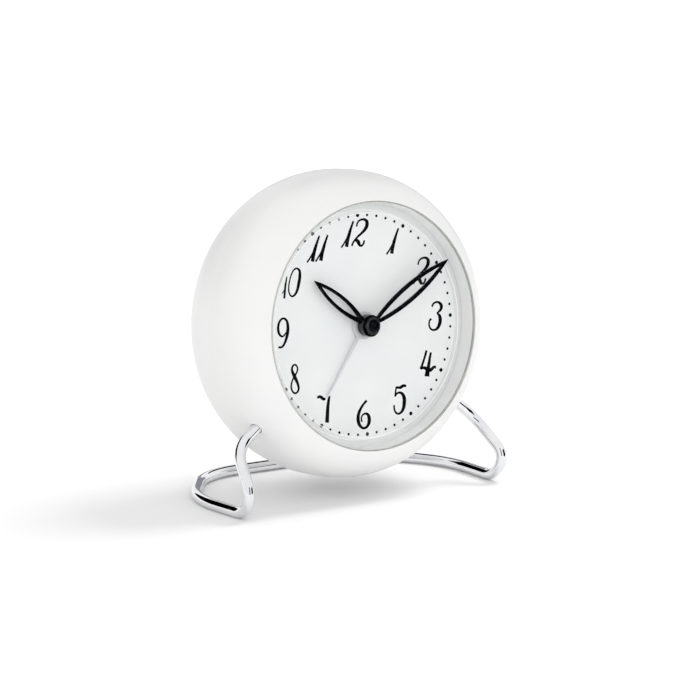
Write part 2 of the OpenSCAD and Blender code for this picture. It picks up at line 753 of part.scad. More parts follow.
module coil_bobbin() {
    color("tan") clock_frame() difference() {
        union() {
            coil_axis(coil_left) cylinder(r = coil_core_r, h = coil_right - coil_left);
            for (x = [coil_left, coil_right - coil_flange_t]) coil_axis(x)
                cylinder(r = coil_r, h = coil_flange_t);
        }
        translate([coil_left - over, coil_y - core_half_w, stator_z - stator_t])
            cube([coil_right - coil_left + 2 * over, 2 * core_half_w, stator_t]);
    }
}
module coil_winding() {
    color("chocolate") clock_frame() coil_axis(coil_left + coil_flange_t) difference() {
        cylinder(r = coil_r - coil_wind_in, h = coil_right - coil_left - 2 * coil_flange_t);
        translate([0, 0, -over]) cylinder(r = coil_core_r, h = coil_right - coil_left);
    }
}
coil_wind_in = 0.3;

// Circuit board and what is on it
pcb_hole_gap = 1.2;
pcb_hole_r = shaft_r + pcb_hole_gap;
quartz_r = 1;
quartz_l = 6;
quartz_at_shares = [-0.38, -0.86];
chip = [5, 5];
chip_h = 1;
chip_at_shares = [0.15, -0.75];
function on_board(shares) = [shares[0] * pcb_half_w, shares[1] * pcb_bottom];
module circuit_board() {
    color("seagreen") clock_frame() difference() {
        at([0, (pcb_top - pcb_bottom) / 2])
            slab([2 * pcb_half_w, pcb_top + pcb_bottom], pcb_z, pcb_z - pcb_t);
        for (place = [[0, 0], motion_at, alarm_at]) at(place)
            ring(pcb_hole_r, pcb_z + over, pcb_z - pcb_t - over);
    }
}
module quartz_can() {
    color("silver") clock_frame() at(on_board(quartz_at_shares)) translate([0, 0, pcb_z + quartz_r])
        rotate([0, 90, 0]) cylinder(r = quartz_r, h = quartz_l);
}
module driver_chip() {
    color("black") clock_frame() at(on_board(chip_at_shares)) slab(chip, pcb_z, pcb_z + chip_h);
}
module buzzer() {
    color("black") clock_frame() at(buzzer_at) difference() {
        ring(buzzer_r, inner_back_z, inner_back_z + buzzer_h);
        ring(sound_hole_r, inner_back_z - over, inner_back_z + buzzer_h / 2);
    }
}

// Battery bay
contact_t = 0.4;
contact_half = 4.5;
nub_r = 2.75;
nub_l = 1.3;
spring_wire_r = 0.3;
spring_r = 4;
spring_taper_share = 0.4;
SPRING_TURNS = 4;
SPRING_STEPS = 24;
SPRING_SIDES = 8;
battery_z = back_z + bay_depth - battery_r - play;
battery_right = bay_half_l - contact_t;
battery_left = battery_right - battery_len;
module bay_axis(x) { translate([x, -battery_drop, battery_z]) rotate([0, 90, 0]) children(); }
module battery() {
    color("orange") clock_frame() {
        bay_axis(battery_left) cylinder(r = battery_r, h = battery_len - nub_l);
        bay_axis(battery_right - nub_l) cylinder(r = nub_r, h = nub_l);
    }
}
module contact_plate() {
    color("silver") clock_frame() for (x = [-bay_half_l, battery_right])
        translate([x, -battery_drop - contact_half, battery_z - contact_half])
            cube([contact_t, 2 * contact_half, 2 * contact_half]);
}
// Conical spring from the left contact to the battery, as rings of points along the wire
module contact_spring() {
    steps = SPRING_TURNS * SPRING_STEPS;
    rise = battery_left + bay_half_l - contact_t - 2 * spring_wire_r;
    points = [for (i = [0 : steps]) let (r = spring_r * (1 - spring_taper_share * i / steps))
        for (k = [0 : SPRING_SIDES - 1]) let (side = k * 360 / SPRING_SIDES)
            concat(polar(r + spring_wire_r * cos(side), i * 360 / SPRING_STEPS),
                   [spring_wire_r * (1 + sin(side)) + rise * i / steps])];
    sides = [for (i = [0 : steps - 1], k = [0 : SPRING_SIDES - 1])
        let (row = i * SPRING_SIDES, m = (k + 1) % SPRING_SIDES)
            [row + k, row + m, row + SPRING_SIDES + m, row + SPRING_SIDES + k]];
    start_cap = [for (k = [SPRING_SIDES - 1 : -1 : 0]) k];
    end_cap = [for (k = [0 : SPRING_SIDES - 1]) steps * SPRING_SIDES + k];
    color("silver") clock_frame() bay_axis(contact_t - bay_half_l)
        polyhedron(points, concat([start_cap], sides, [end_cap]));
}
notch_w = 12;
notch_d = 0.8;
notch_h = 3;
module battery_door() {
    color("white") clock_frame() difference() {
        union() {
            translate([-door_half_l, hinge_y, back_z]) cube([2 * door_half_l, door_top - hinge_y, door_t]);
            translate([-door_half_l, hinge_y, hinge_z]) rotate([0, 90, 0])
                cylinder(r = hinge_r, h = 2 * door_half_l);
            translate([-door_half_l - hinge_pin_l, hinge_y, hinge_z]) rotate([0, 90, 0])
                cylinder(r = hinge_pin_r, h = 2 * (door_half_l + hinge_pin_l));
        }
        translate([-notch_w / 2, door_top - notch_h, back_z - over])
            cube([notch_w, notch_h + over, notch_d + over]);
    }
}

// Knobs, switch and button
flute_count = 24;
flute_depth = 0.5;
collar_l = 0.9;
module knob() {
    flutes = [for (i = [0 : 2 * flute_count - 1])
        polar(i % 2 == 0 ? knob_r : knob_r - flute_depth, i * 180 / flute_count)];
    difference() {
        union() {
            translate([0, 0, knob_z - knob_h]) linear_extrude(knob_h) polygon(flutes);
            ring(shaft_hole_r - play, knob_z, knob_z + collar_l);
        }
        ring(shaft_r, shaft_end_z, knob_z + collar_l + over);
    }
}
module time_knob() { color("white") clock_frame() at(motion_at) knob(); }
module alarm_knob() { color("white") clock_frame() at(alarm_at) knob(); }
slider_rest = -switch_travel / 2;
slider_proud = 1.4;
switch_body_over = 0.5;
switch_body_size = slider_plate + [switch_travel - 2 * switch_body_over, 2 * switch_body_over];
switch_body_h = 3.4;
module switch_slider() {
    color("white") clock_frame() at([slider_rest, switch_up]) {
        slab([slider_w, slider_h], back_z - slider_proud, inner_back_z + play);
        slab(slider_plate, inner_back_z + play, inner_back_z + play + slider_plate_t);
    }
}
module switch_body() {
    color("silver") clock_frame() at([0, switch_up]) {
        slab(switch_body_size, switch_face_z, switch_face_z + switch_body_h);
        slab([2 * (switch_post_x + post_small_r), 2 * post_small_r], switch_face_z,
             switch_face_z + slider_plate_t);
    }
}
snooze_proud = 1.5;
stem_r = 1;
stem_gap = 0.3;
stem_floor = 0.25;
stem_in = 0.5;
snooze_board_over = 0.4;
snooze_board = [2 * (snooze_post_x + post_small_r + snooze_board_over), 2 * (post_small_r + 2 * flange_over)];
snooze_board_t = 1;
switch_half = 3;
flange_z = inner_back_z + play + flange_t;
snooze_switch_z = snooze_board_z - plunger_h;
module snooze_button() {
    color("white") clock_frame() at([0, snooze_up]) {
        stadium(snooze_w, snooze_h, back_z - snooze_proud, inner_back_z + play);
        stadium(snooze_w + 2 * flange_over, snooze_h + 2 * flange_over, inner_back_z + play, flange_z);
        ring(stem_r, flange_z, snooze_switch_z + stem_in);
    }
}
module snooze_switch() {
    color("darkslategray") clock_frame() at([0, snooze_up]) difference() {
        union() {
            slab(snooze_board, snooze_board_z, snooze_board_z + snooze_board_t);
            slab([2 * switch_half, 2 * switch_half], snooze_board_z, snooze_switch_z);
        }
        ring(stem_r + stem_gap, snooze_switch_z - over, snooze_board_z - stem_floor);
    }
}

// Hands
function clockwise(angle) = 90 - angle;
// Leaf between two points on the hand's line, as the overlap of two equal discs
module leaf(from_x, to_x, half_w, z0, z1) {
    half_l = (to_x - from_x) / 2;
    disc_r = (half_l * half_l + half_w * half_w) / (2 * half_w);
    intersection() {
        at([from_x + half_l, half_w - disc_r]) ring(disc_r, z0, z1);
        at([from_x + half_l, disc_r - half_w]) ring(disc_r, z0, z1);
    }
}
leaf_root_share = 0.025;
slot_from_share = 0.1;
minute_slot_share = 0.89;
hour_slot_from_share = 0.18;
hour_slot_share = 0.86;
// Running gap between the hubs of the hour and minute hands
hub_gap = 0.2;
minute_boss_h = minute_lift - hour_lift - hand_t - hub_gap;
module leaf_hand(length, half_w, slot_half_w, slot_from, slot_to, hub_r, bore, z, angle, boss_h = 0) {
    color("midnightblue") clock_frame() rotate([0, 0, clockwise(angle)]) difference() {
        union() {
            leaf(-length * leaf_root_share, length, half_w, z, z + hand_t);
            ring(hub_r, z - boss_h, z + hand_t);
        }
        difference() {
            leaf(length * slot_from, length * slot_to, slot_half_w, z - over, z + hand_t + over);
            ring(hub_r, z - 2 * over, z + hand_t + 2 * over);
        }
        ring(bore, z - boss_h - over, z + hand_t + over);
    }
}
module minute_hand() {
    leaf_hand(minute_len, minute_half_w, minute_slot_half_w, slot_from_share, minute_slot_share,
              minute_hub_r, arbor_r, dial_z + minute_lift, minute_angle, minute_boss_h);
}
module hour_hand() {
    leaf_hand(hour_len, hour_half_w, hour_slot_half_w, hour_slot_from_share, hour_slot_share,
              hour_hub_r, hour_tube_r, dial_z + hour_lift, hour_angle);
}
module alarm_hand() {
    z = dial_z + alarm_lift;
    color("silver") clock_frame() rotate([0, 0, clockwise(alarm_angle)]) difference() {
        union() {
            ring(alarm_hub_r, z, z + alarm_hand_t);
            translate([0, 0, z]) linear_extrude(alarm_hand_t) polygon([[0, -alarm_root_w / 2],
                [alarm_len, -alarm_tip_w / 2], [alarm_len, alarm_tip_w / 2], [0, alarm_root_w / 2]]);
        }
        ring(alarm_tube_r, z - over, z + alarm_hand_t + over);
    }
}
cap_collar_r = 3.05;
cap_collar_h = 1.2;
module hand_cap() {
    z = dial_z + minute_lift + hand_t;
    color("black") clock_frame() difference() {
        union() {
            ring(cap_collar_r, z, z + cap_collar_h);
            ring(cap_r, z, z + cap_h);
        }
        ring(arbor_r, z - over, arbor_top);
    }
}

// Stand: one rod through a list of bend points, left to right
function unit(v) = v / norm(v);
function to_table(p) =
    [p[0], p[1] * sin(tilt) - p[2] * cos(tilt), axis_h + p[1] * cos(tilt) + p[2] * sin(tilt)];
function rod_point(r) = to_table(concat(polar(r, 180 + socket_angle), [socket_fwd]));
front_bend_y = -case_front - front_bend_fwd;
rear_bar_y = case_back + rear_bar_out;
left_points = [rod_point(rod_end_r), rod_point(case_r + knee_out),
               [-case_r - front_bend_out, front_bend_y, front_bend_h],
               [toe_in - case_r, front_bend_y + toe_back, rod_r],
               [-case_r - side_bend_out, side_bend_back, rod_r],
               [rear_bend_in - case_r, rear_bar_y, rod_r]];
left_bends = [0, knee_bend_r, front_bend_r, toe_bend_r, side_bend_r, rear_bend_r];
rod_points = concat(left_points, [for (p = backwards(left_points)) [-p[0], p[1], p[2]]]);
rod_bends = concat(left_bends, backwards(left_bends));
bend_lap = 0.2;
bend_swell = 0.01;
// Half the angle at a bend, the centre of its arc, and its normal
function to_last(i) = unit(rod_points[i - 1] - rod_points[i]);
function to_next(i) = unit(rod_points[i + 1] - rod_points[i]);
function half_angle(i) = acos(to_last(i) * to_next(i)) / 2;
function bend_run(i) = rod_bends[i] == 0 ? 0 : rod_bends[i] / tan(half_angle(i));
function bend_centre(i) = rod_points[i] + unit(to_last(i) + to_next(i)) * rod_bends[i] / sin(half_angle(i));
function bend_normal(i) = unit(cross(to_next(i), to_last(i)));
// Front of the stand, which with its rear bar sets where the origin lies
front_bend = 2;
stand_front = bend_centre(front_bend)[1] - rod_r
    - rod_bends[front_bend] * sqrt(1 - pow(bend_normal(front_bend)[1], 2));
case_reach = -case_front * cos(tilt) - lip_r * sin(tilt);
axis_y = -(min(stand_front, case_reach) + rear_bar_y + rod_r) / 2;

module frame_at(x, y, z, place) {
    multmatrix([[x[0], y[0], z[0], place[0]], [x[1], y[1], z[1], place[1]],
                [x[2], y[2], z[2], place[2]], [0, 0, 0, 1]]) children();
}
// The runs lap a little into the bends, where the rod is a hair thicker
module rod_run(i) {
    start = rod_points[i] + to_next(i) * (bend_run(i) - (i == 0 ? 0 : bend_lap));
    end = rod_points[i + 1] - to_next(i) * (bend_run(i + 1) - (i == len(rod_points) - 2 ? 0 : bend_lap));
    along = unit(end - start);
    across = unit(cross(along, abs(along[2]) < 0.5 ? [0, 0, 1] : [1, 0, 0]));
    frame_at(across, cross(along, across), along, start) cylinder(r = rod_r, h = norm(end - start), $fn = 48);
}
module rod_bend(i) {
    centre = bend_centre(i);
    out = unit(rod_points[i] + to_last(i) * bend_run(i) - centre);
    travel = -to_last(i);
    frame_at(out, travel, cross(out, travel), centre)
        rotate_extrude(angle = 180 - 2 * half_angle(i)) translate([rod_bends[i], 0])
            circle(r = rod_r + bend_swell, $fn = 48);
}
module stand() {
    color("silver") translate([0, axis_y, 0]) {
        for (i = [0 : len(rod_points) - 2]) rod_run(i);
        for (i = [1 : len(rod_points) - 2]) rod_bend(i);
    }
}
module stand_sleeves() {
    color("dimgray") clock_frame() for (side = [-1, 1]) socket_axis(side)
        ring(sleeve_r, rod_end_r, sleeve_top_r, rod_r);
}

front_case();
rear_case();
lens();
lens_seal();
light_guide();
dial();
chassis();
chassis_screws();
light_board();
light_leds();
movement_front();
movement_back();
movement_nut();
minute_arbor();
minute_hand();
hand_cap();
hour_wheel();
hour_hand();
alarm_wheel();
alarm_hand();
motion_wheel();
time_knob();
alarm_pinion();
alarm_knob();
centre_wheel();
third_wheel();
fourth_wheel();
fifth_wheel();
rotor();
stator();
coil_bobbin();
coil_winding();
circuit_board();
quartz_can();
driver_chip();
buzzer();
battery();
contact_plate();
contact_spring();
battery_door();
switch_slider();
switch_body();
snooze_button();
snooze_switch();
case_screws();
stand();
stand_sleeves();
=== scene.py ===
# Round table clock with an alarm, on a bent rod stand: how it looks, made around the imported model.
import json
from math import asin, ceil, cos, pi, radians, sin, tan

import bpy
from mathutils import Matrix, Vector


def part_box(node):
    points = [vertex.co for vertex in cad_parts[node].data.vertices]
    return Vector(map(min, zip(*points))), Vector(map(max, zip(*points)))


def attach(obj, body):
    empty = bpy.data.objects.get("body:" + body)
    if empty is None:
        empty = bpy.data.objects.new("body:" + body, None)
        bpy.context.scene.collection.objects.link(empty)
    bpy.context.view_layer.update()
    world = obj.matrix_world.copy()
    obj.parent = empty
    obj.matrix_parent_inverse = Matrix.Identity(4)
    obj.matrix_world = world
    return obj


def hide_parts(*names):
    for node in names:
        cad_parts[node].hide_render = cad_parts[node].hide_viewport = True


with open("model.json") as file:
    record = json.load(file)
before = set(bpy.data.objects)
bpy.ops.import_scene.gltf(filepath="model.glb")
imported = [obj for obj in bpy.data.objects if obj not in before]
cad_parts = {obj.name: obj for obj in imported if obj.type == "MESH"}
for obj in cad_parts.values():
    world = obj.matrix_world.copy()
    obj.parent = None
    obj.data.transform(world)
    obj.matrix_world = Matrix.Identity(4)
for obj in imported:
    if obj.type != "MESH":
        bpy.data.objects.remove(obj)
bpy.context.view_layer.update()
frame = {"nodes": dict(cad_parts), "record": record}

MM = 0.001
FULL_TURN = 2 * pi

# Sizes in millimetres, angles in degrees. Pieces of the clock are made in the dial's frame: X right, Y up
# the dial, Z towards the viewer. Its origin is on the hands' axis, where the case's halves meet
TILT = 5
CASE_R = 55
CASE_FRONT = 23.8
CASE_BACK = 26.2
NOSE_LEN = 30.9
TAIL_LEN = 35.8
NOSE_FULLNESS = 2.91
TAIL_FULLNESS = 2.37
SHELL_WALL = 2.4
LIP_R = 44.28
OPENING_R = 43.9
TUBE_R = 43.4
TUBE_OUT_R = 45
LEDGE_Z = 22.4
DIAL_Z = 15.3
DIAL_T = 1
RING_STEPS = 192
PROFILE_STEPS = 40
CORNER_STEPS = 4
HOLE_SIDES = 48
SMALL_HOLE_SIDES = 24
MERGE_GAP = MM / 1000
# Edges sharper than the first angle stay sharp, or are broken, and faces within the second count as one
SHARP_ANGLE = 30
FLAT_ANGLE = 0.5

# The dial's middle gives the place of the clock's frame
dial_low, dial_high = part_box("dial")
CLOCK = (Matrix.Translation((dial_low + dial_high) / 2) @ Matrix.Rotation(radians(90 - TILT), 4, "X")
         @ Matrix.Translation((0, 0, (DIAL_T / 2 - DIAL_Z) * MM)))


# Modelling: what every piece goes through
def new_object(name, data):
    piece = bpy.data.objects.new(name, data)
    bpy.context.scene.collection.objects.link(piece)
    return piece


def deselect():
    if bpy.context.object and bpy.context.object.mode != "OBJECT":
        bpy.ops.object.mode_set(mode="OBJECT")
    bpy.ops.object.select_all(action="DESELECT")


def pick(*pieces):
    deselect()
    for piece in pieces:
        piece.select_set(True)
    bpy.context.view_layer.objects.active = pieces[0]
    return pieces[0]


def edit(piece):
    pick(piece)
    bpy.ops.object.mode_set(mode="EDIT")
    bpy.ops.mesh.select_all(action="SELECT")


def join(pieces, name):
    piece = pick(*pieces)
    if len(pieces) > 1:
        bpy.ops.object.join()
    piece.name = name
    return piece


def settle(piece, place=None):
    """Puts the piece's place into its mesh, after moving it to where it belongs"""
    pick(piece)
    if place:
        piece.matrix_world = place @ piece.matrix_world
    bpy.ops.object.transform_apply(location=True, rotation=True, scale=True)
    return piece


def modify(piece, kind, **settings):
    """Adds a modifier with its settings and applies it"""
    pick(piece)
    modifier = piece.modifiers.new(kind.title(), kind)
    for name, value in settings.items():
        setattr(modifier, name, value)
    bpy.ops.object.modifier_apply(modifier=modifier.name)
    return piece


def smooth(piece, angle=SHARP_ANGLE):
    """Smooth shading over gentle edges, which leaves the broad faces flat"""
    pick(piece)
    bpy.ops.object.shade_smooth_by_angle(angle=radians(angle))
    return modify(piece, "WEIGHTED_NORMAL", keep_sharp=True)


def cut(piece, cutters, operation="DIFFERENCE"):
    tool = join(cutters, "cutter")
    modify(piece, "BOOLEAN", operation=operation, object=tool, solver="EXACT")
    bpy.data.objects.remove(tool)
    return piece


def finish(piece, slot, body, *nodes, material=None):
    """Gives a finished piece its material and its body, and hides the solids that it stands for"""
    piece.data.materials.clear()
    piece.data.materials.append(material or finishes[slot])
    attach(piece, body)
    if nodes:
        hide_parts(*nodes)
    return piece


# Outlines, as (distance from the axis, height) in millimetres
def rounded(corners):
    """An outline whose corners (radius, height, rounding) are eased by their rounding"""
    outline = []
    for before, here, after in zip(corners[-1:] + corners[:-1], corners, corners[1:] + corners[:1]):
        point = Vector(here[:2])
        rounding = here[2] if len(here) > 2 else 0
        if not rounding:
            outline.append(point)
            continue
        start = point + (Vector(before[:2]) - point).normalized() * rounding
        end = point + (Vector(after[:2]) - point).normalized() * rounding
        for step in range(CORNER_STEPS + 1):
            t = step / CORNER_STEPS
            outline.append(start * (1 - t) ** 2 + point * 2 * t * (1 - t) + end * t ** 2)
    return outline


def bulge(radius, length, fullness, low, high, steps=PROFILE_STEPS):
    """The outline of a superellipse between two heights"""
    first, last = (asin((z / length) ** (fullness / 2)) for z in (low, high))
    angles = [first + (last - first) * step / steps for step in range(steps + 1)]
    return [Vector((radius * cos(a) ** (2 / fullness), length * sin(a) ** (2 / fullness))) for a in angles]


def bulge_r(z, radius, length, fullness):
    return radius * (1 - (z / length) ** fullness) ** (1 / fullness)


def behind(outline):
    return [Vector((point.x, -point.y)) for point in outline]


def turned(name, outline, steps=RING_STEPS):
    """Lathe work: a point is drawn out along the outline, which is spun about the axis"""
    deselect()
    bpy.ops.mesh.primitive_plane_add(size=MM)
    piece = bpy.context.object
    piece.name = name
    edit(piece)
    bpy.ops.mesh.merge(type="CENTER")
    bpy.ops.transform.translate(value=(outline[0][0] * MM, 0, outline[0][1] * MM))
    for before, after in zip(outline, outline[1:]):
        move = ((after[0] - before[0]) * MM, 0, (after[1] - before[1]) * MM)
        bpy.ops.mesh.extrude_region_move(TRANSFORM_OT_translate={"value": move})
    bpy.ops.mesh.select_all(action="SELECT")
    bpy.ops.mesh.spin(steps=steps, angle=FULL_TURN, center=(0, 0, 0), axis=(0, 0, 1))
    bpy.ops.mesh.select_all(action="SELECT")
    bpy.ops.mesh.remove_doubles(threshold=MERGE_GAP)
    bpy.ops.mesh.normals_make_consistent(inside=False)
    bpy.ops.object.mode_set(mode="OBJECT")
    return piece


def pin(radius, low, high, x=0, y=0, sides=HOLE_SIDES):
    """A cutter for a round hole"""
    deselect()
    bpy.ops.mesh.primitive_cylinder_add(vertices=sides, radius=radius * MM, depth=(high - low) * MM,
                                        location=(x * MM, y * MM, (low + high) / 2 * MM))
    return settle(bpy.context.object)


def block(width, height, low, high, x=0, y=0):
    """A cutter for a square hole"""
    deselect()
    bpy.ops.mesh.primitive_cube_add(size=1, location=(x * MM, y * MM, (low + high) / 2 * MM))
    bpy.context.object.scale = (width * MM, height * MM, (high - low) * MM)
    return settle(bpy.context.object)


def softened(node, name, edge):
    """A merged copy of a CAD piece, with its sharp edges broken"""
    piece = new_object(name, frame["nodes"][node].data.copy())
    edit(piece)
    bpy.ops.mesh.remove_doubles(threshold=MERGE_GAP)
    bpy.ops.mesh.dissolve_limited(angle_limit=radians(FLAT_ANGLE))
    bpy.ops.object.mode_set(mode="OBJECT")
    modify(piece, "BEVEL", width=edge * MM, segments=2, limit_method="ANGLE",
           angle_limit=radians(SHARP_ANGLE))
    return smooth(piece)


# Materials, each named for what the real one is and how its surface was made. Their colours drift over the
# middle of the noise's range, where its clouds lie
CLOUD_LOW, CLOUD_HIGH = 0.35, 0.65
CLOUD_DETAIL = 3.0
GRAIN_DETAIL = 2.0
# Faint glow of the light ring's edges: a painted highlight
EDGE_PAINTED_HIGHLIGHT = 0.15


def linear(hex_colour):
    """An sRGB hex colour as linear light"""
    parts = [int(hex_colour[i:i + 2], 16) / 255 for i in (1, 3, 5)]
    return [p / 12.92 if p <= 0.04045 else ((p + 0.055) / 1.055) ** 2.4 for p in parts] + [1]


def add(tree, kind, settings=None, **links):
    """Adds a node: its settings are attributes or inputs, and its links feed inputs from sockets"""
    node = tree.nodes.new(kind)
    for name, value in (settings or {}).items():
        if hasattr(node, name):
            setattr(node, name, value)
        else:
            node.inputs[name].default_value = value
    for name, socket in links.items():
        tree.links.new(socket, node.inputs[name.replace("_", " ")])
    return node


def surface(name, light, dark, roughness, cloud_mm, grain_mm=0.4, grain_depth=0.0, **inputs):
    """A surface whose colour and gloss drift in clouds of a real size, over a fine grain in relief"""
    material = bpy.data.materials.new(name)
    material.use_nodes = True
    tree = material.node_tree
    shader = tree.nodes["Principled BSDF"]
    for key, value in inputs.items():
        shader.inputs[key.replace("_", " ")].default_value = value
    place = add(tree, "ShaderNodeTexCoord").outputs["Object"]
    cloud = add(tree, "ShaderNodeTexNoise", {"Scale": 1 / (cloud_mm * MM), "Detail": CLOUD_DETAIL},
                Vector=place)
    tint = add(tree, "ShaderNodeValToRGB", Fac=cloud.outputs["Fac"])
    for stop, position, colour in zip(tint.color_ramp.elements, (CLOUD_LOW, CLOUD_HIGH), (dark, light)):
        stop.position = position
        stop.color = linear(colour)
    tree.links.new(tint.outputs["Color"], shader.inputs["Base Color"])
    gloss = add(tree, "ShaderNodeMapRange", {"To Min": roughness[0], "To Max": roughness[1]},
                Value=cloud.outputs["Fac"])
    tree.links.new(gloss.outputs["Result"], shader.inputs["Roughness"])
    if grain_depth:
        grit = add(tree, "ShaderNodeTexNoise", {"Scale": 1 / (grain_mm * MM), "Detail": GRAIN_DETAIL},
                   Vector=place)
        relief = add(tree, "ShaderNodeBump", {"Strength": 1.0, "Distance": grain_depth * MM},
                     Height=grit.outputs["Fac"])
        tree.links.new(relief.outputs["Normal"], shader.inputs["Normal"])
    return material


def clear_moulding(name, ior):
    """A clear piece: glass to the eye, while light from the lamps and off the dial goes straight through"""
    material = surface(name, "#FFFFFF", "#FCFEFE", (0.0, 0.01), 20, IOR=ior, Transmission_Weight=1.0)
    tree = material.node_tree
    path = add(tree, "ShaderNodeLightPath")
    straight = add(tree, "ShaderNodeMath", {"operation": "MAXIMUM"})
    tree.links.new(path.outputs["Is Shadow Ray"], straight.inputs[0])
    tree.links.new(path.outputs["Is Diffuse Ray"], straight.inputs[1])
    both = add(tree, "ShaderNodeMixShader", Fac=straight.outputs[0])
    tree.links.new(tree.nodes["Principled BSDF"].outputs[0], both.inputs[1])
    tree.links.new(add(tree, "ShaderNodeBsdfTransparent").outputs[0], both.inputs[2])
    tree.links.new(both.outputs[0], tree.nodes["Material Output"].inputs["Surface"])
    return material


finishes = {
    # ABS moulded in a spark-eroded mould: even white with a soft sheen and no hard highlight. The mould's
    # grit of about 0.05 mm is too fine to show, so it is drawn 0.35 mm coarse
    "case_white": surface("moulded_satin_abs", "#F3F3F2", "#F0F0F0", (0.36, 0.42), 30, 0.35, 0.004),
    # The same plastic from a rougher mould, duller where fingers turn and press
    "knob_white": surface("moulded_matt_abs", "#EFEFEE", "#EAEAE9", (0.46, 0.54), 6, 0.35, 0.008),
    # Cast acrylic sheet with a coat against glare, its index matched to how black the hands stay behind it.
    # It is seen by a faint mirroring and by its pale edge
    "lens_clear": clear_moulding("coated_acrylic_sheet", 1.3),
    # Acrylic from a polished mould, with a trace of white in it: the dots show through, and it shines
    "ring_clear": surface("polished_acrylic", "#FFFFFF", "#FCFCFC", (0.1, 0.16), 10, IOR=1.49, Alpha=0.1),
    # Aluminium sheet sprayed a cool matt white: an even tone with the lacquer's faint 0.4 mm orange peel
    "dial_white": surface("sprayed_dial_lacquer", "#F7F8F8", "#F4F5F5", (0.48, 0.56), 12, 0.4, 0.002),
    # Moulded rubber: dull and dark, seen as a thin dark edge where the rod enters the case
    "rubber_grey": surface("moulded_rubber", "#55544F", "#494843", (0.75, 0.85), 3, 0.35, 0.02),
    # Bright nickel under chrome on polished wire: a hard mirror, hazed a little by the polishing wheel
    "chrome": surface("polished_chrome_plate", "#EDEDEE", "#E4E5E8", (0.03, 0.06), 9, Metallic=1.0),
    # Pressed steel under black lacquer: near black with a trace of blue, and a soft gloss on its edges
    "hand_black": surface("lacquered_black_steel", "#07090F", "#040509", (0.14, 0.2), 4),
    # Black acetal turned and left satin: the same black, with a broad grey sheen round its sides
    "cap_black": surface("turned_black_acetal", "#0A0C12", "#06070B", (0.16, 0.22), 2),
    # Pressed aluminium under grey lacquer: pale grey, so that the hand stays quiet on the dial
    "hand_grey": surface("lacquered_grey_aluminium", "#DCDDE0", "#D2D3D6", (0.36, 0.44), 4, 0.4, 0.003),
    # Natural acetal: waxy, slightly yellow
    "inner_plastic": surface("moulded_natural_acetal", "#E2DDD0", "#D9D3C4", (0.4, 0.5), 5, 0.35, 0.006),
    # Zinc on steel: grey metal with cloudy spangle
    "steel": surface("zinc_plated_steel", "#C9CCCE", "#A9ADB0", (0.28, 0.42), 2, Metallic=1.0),
    # Solder mask over glass cloth: deep green, glossy
    "board_green": surface("solder_masked_board", "#23713F", "#195A31", (0.3, 0.4), 3, 0.35, 0.01),
    # Phosphor in silicone: soft yellow
    "led_yellow": surface("cast_phosphor_gel", "#EBDC8E", "#E0CE78", (0.25, 0.35), 1),
    # Glass-filled black polyester: dull, with a dusty grain
    "black_plastic": surface("moulded_black_polyester", "#1B1B1B", "#121212", (0.48, 0.6), 3, 0.35, 0.01),
    # Enamelled copper wire: warm and shiny
    "copper": surface("enamelled_copper_wire", "#C0703F", "#A65E33", (0.25, 0.35), 1, Metallic=1.0),
    # Foil sleeve on a cell: bright orange, with a satin varnish
    "battery_wrap": surface("varnished_foil_sleeve", "#CC7A2C", "#C27226", (0.25, 0.32), 8),
    # Rolled brass: yellow metal, a little dulled by handling
    "brass": surface("rolled_brass", "#CDAE5F", "#BC9A4C", (0.22, 0.36), 3, Metallic=1.0),
}
# The lens is cut from sheet and its edge left as cut: frosted, it shows as a fine pale line
ground_edge = surface("sawn_acrylic_edge", "#D3D4D0", "#C6C7C3", (0.5, 0.7), 2, 0.35, 0.01)
# The ring's two inner edges glow faintly, a painted highlight that makes them fine white lines
ring_edge_painted_highlight = surface("acrylic_edge_painted_highlight", "#FFFFFF", "#FCFCFC", (0.2, 0.3), 2, IOR=1.49,
                    Emission_Color=linear("#FFFFFF"), Emission_Strength=EDGE_PAINTED_HIGHLIGHT)
# Screen-printed ink: flat black with no gloss
printed_ink = surface("screen_printed_ink", "#08090C", "#050608", (0.7, 0.8), 1, Specular_IOR_Level=0.1)
slot_of = {part["node"]: part["material_slot"] for part in frame["record"]["subparts"]}
for node, solid in frame["nodes"].items():
    solid.data.materials.clear()
    solid.data.materials.append(finishes[slot_of[node]])
# Under the lens lies pale silicone instead: a fine grey line round the opening
frame["nodes"]["lens_seal"].data.materials[0] = surface(
    "moulded_pale_silicone", "#B9B9B4", "#ADADA8", (0.5, 0.6), 5, 0.35, 0.005)

# Camera: where the photograph was taken from, as seen from the dial
VIEW_AZIMUTH = -34.853
VIEW_ELEVATION = 6.122
VIEW_ROLL = -2.586
VIEW_DISTANCE = 1002.1
VIEW_TARGET = (-5.94, -8.26, 15.8)
FOCAL_PIXELS = 2850
FRAME_PIXELS = 700
SENSOR_MM = 36
VIEW_END = 20
camera = new_object("camera", bpy.data.cameras.new("camera"))
camera.data.sensor_width = SENSOR_MM
camera.data.lens = FOCAL_PIXELS / FRAME_PIXELS * SENSOR_MM
camera.data.clip_end = VIEW_END
camera.matrix_world = (
    CLOCK @ Matrix.Translation(Vector(VIEW_TARGET) * MM) @ Matrix.Rotation(radians(VIEW_AZIMUTH), 4, "Y")
    @ Matrix.Rotation(radians(-VIEW_ELEVATION), 4, "X") @ Matrix.Rotation(radians(VIEW_ROLL), 4, "Z")
    @ Matrix.Translation((0, 0, VIEW_DISTANCE * MM)))
bpy.context.scene.camera = camera
bpy.context.scene.view_settings.view_transform = "Standard"


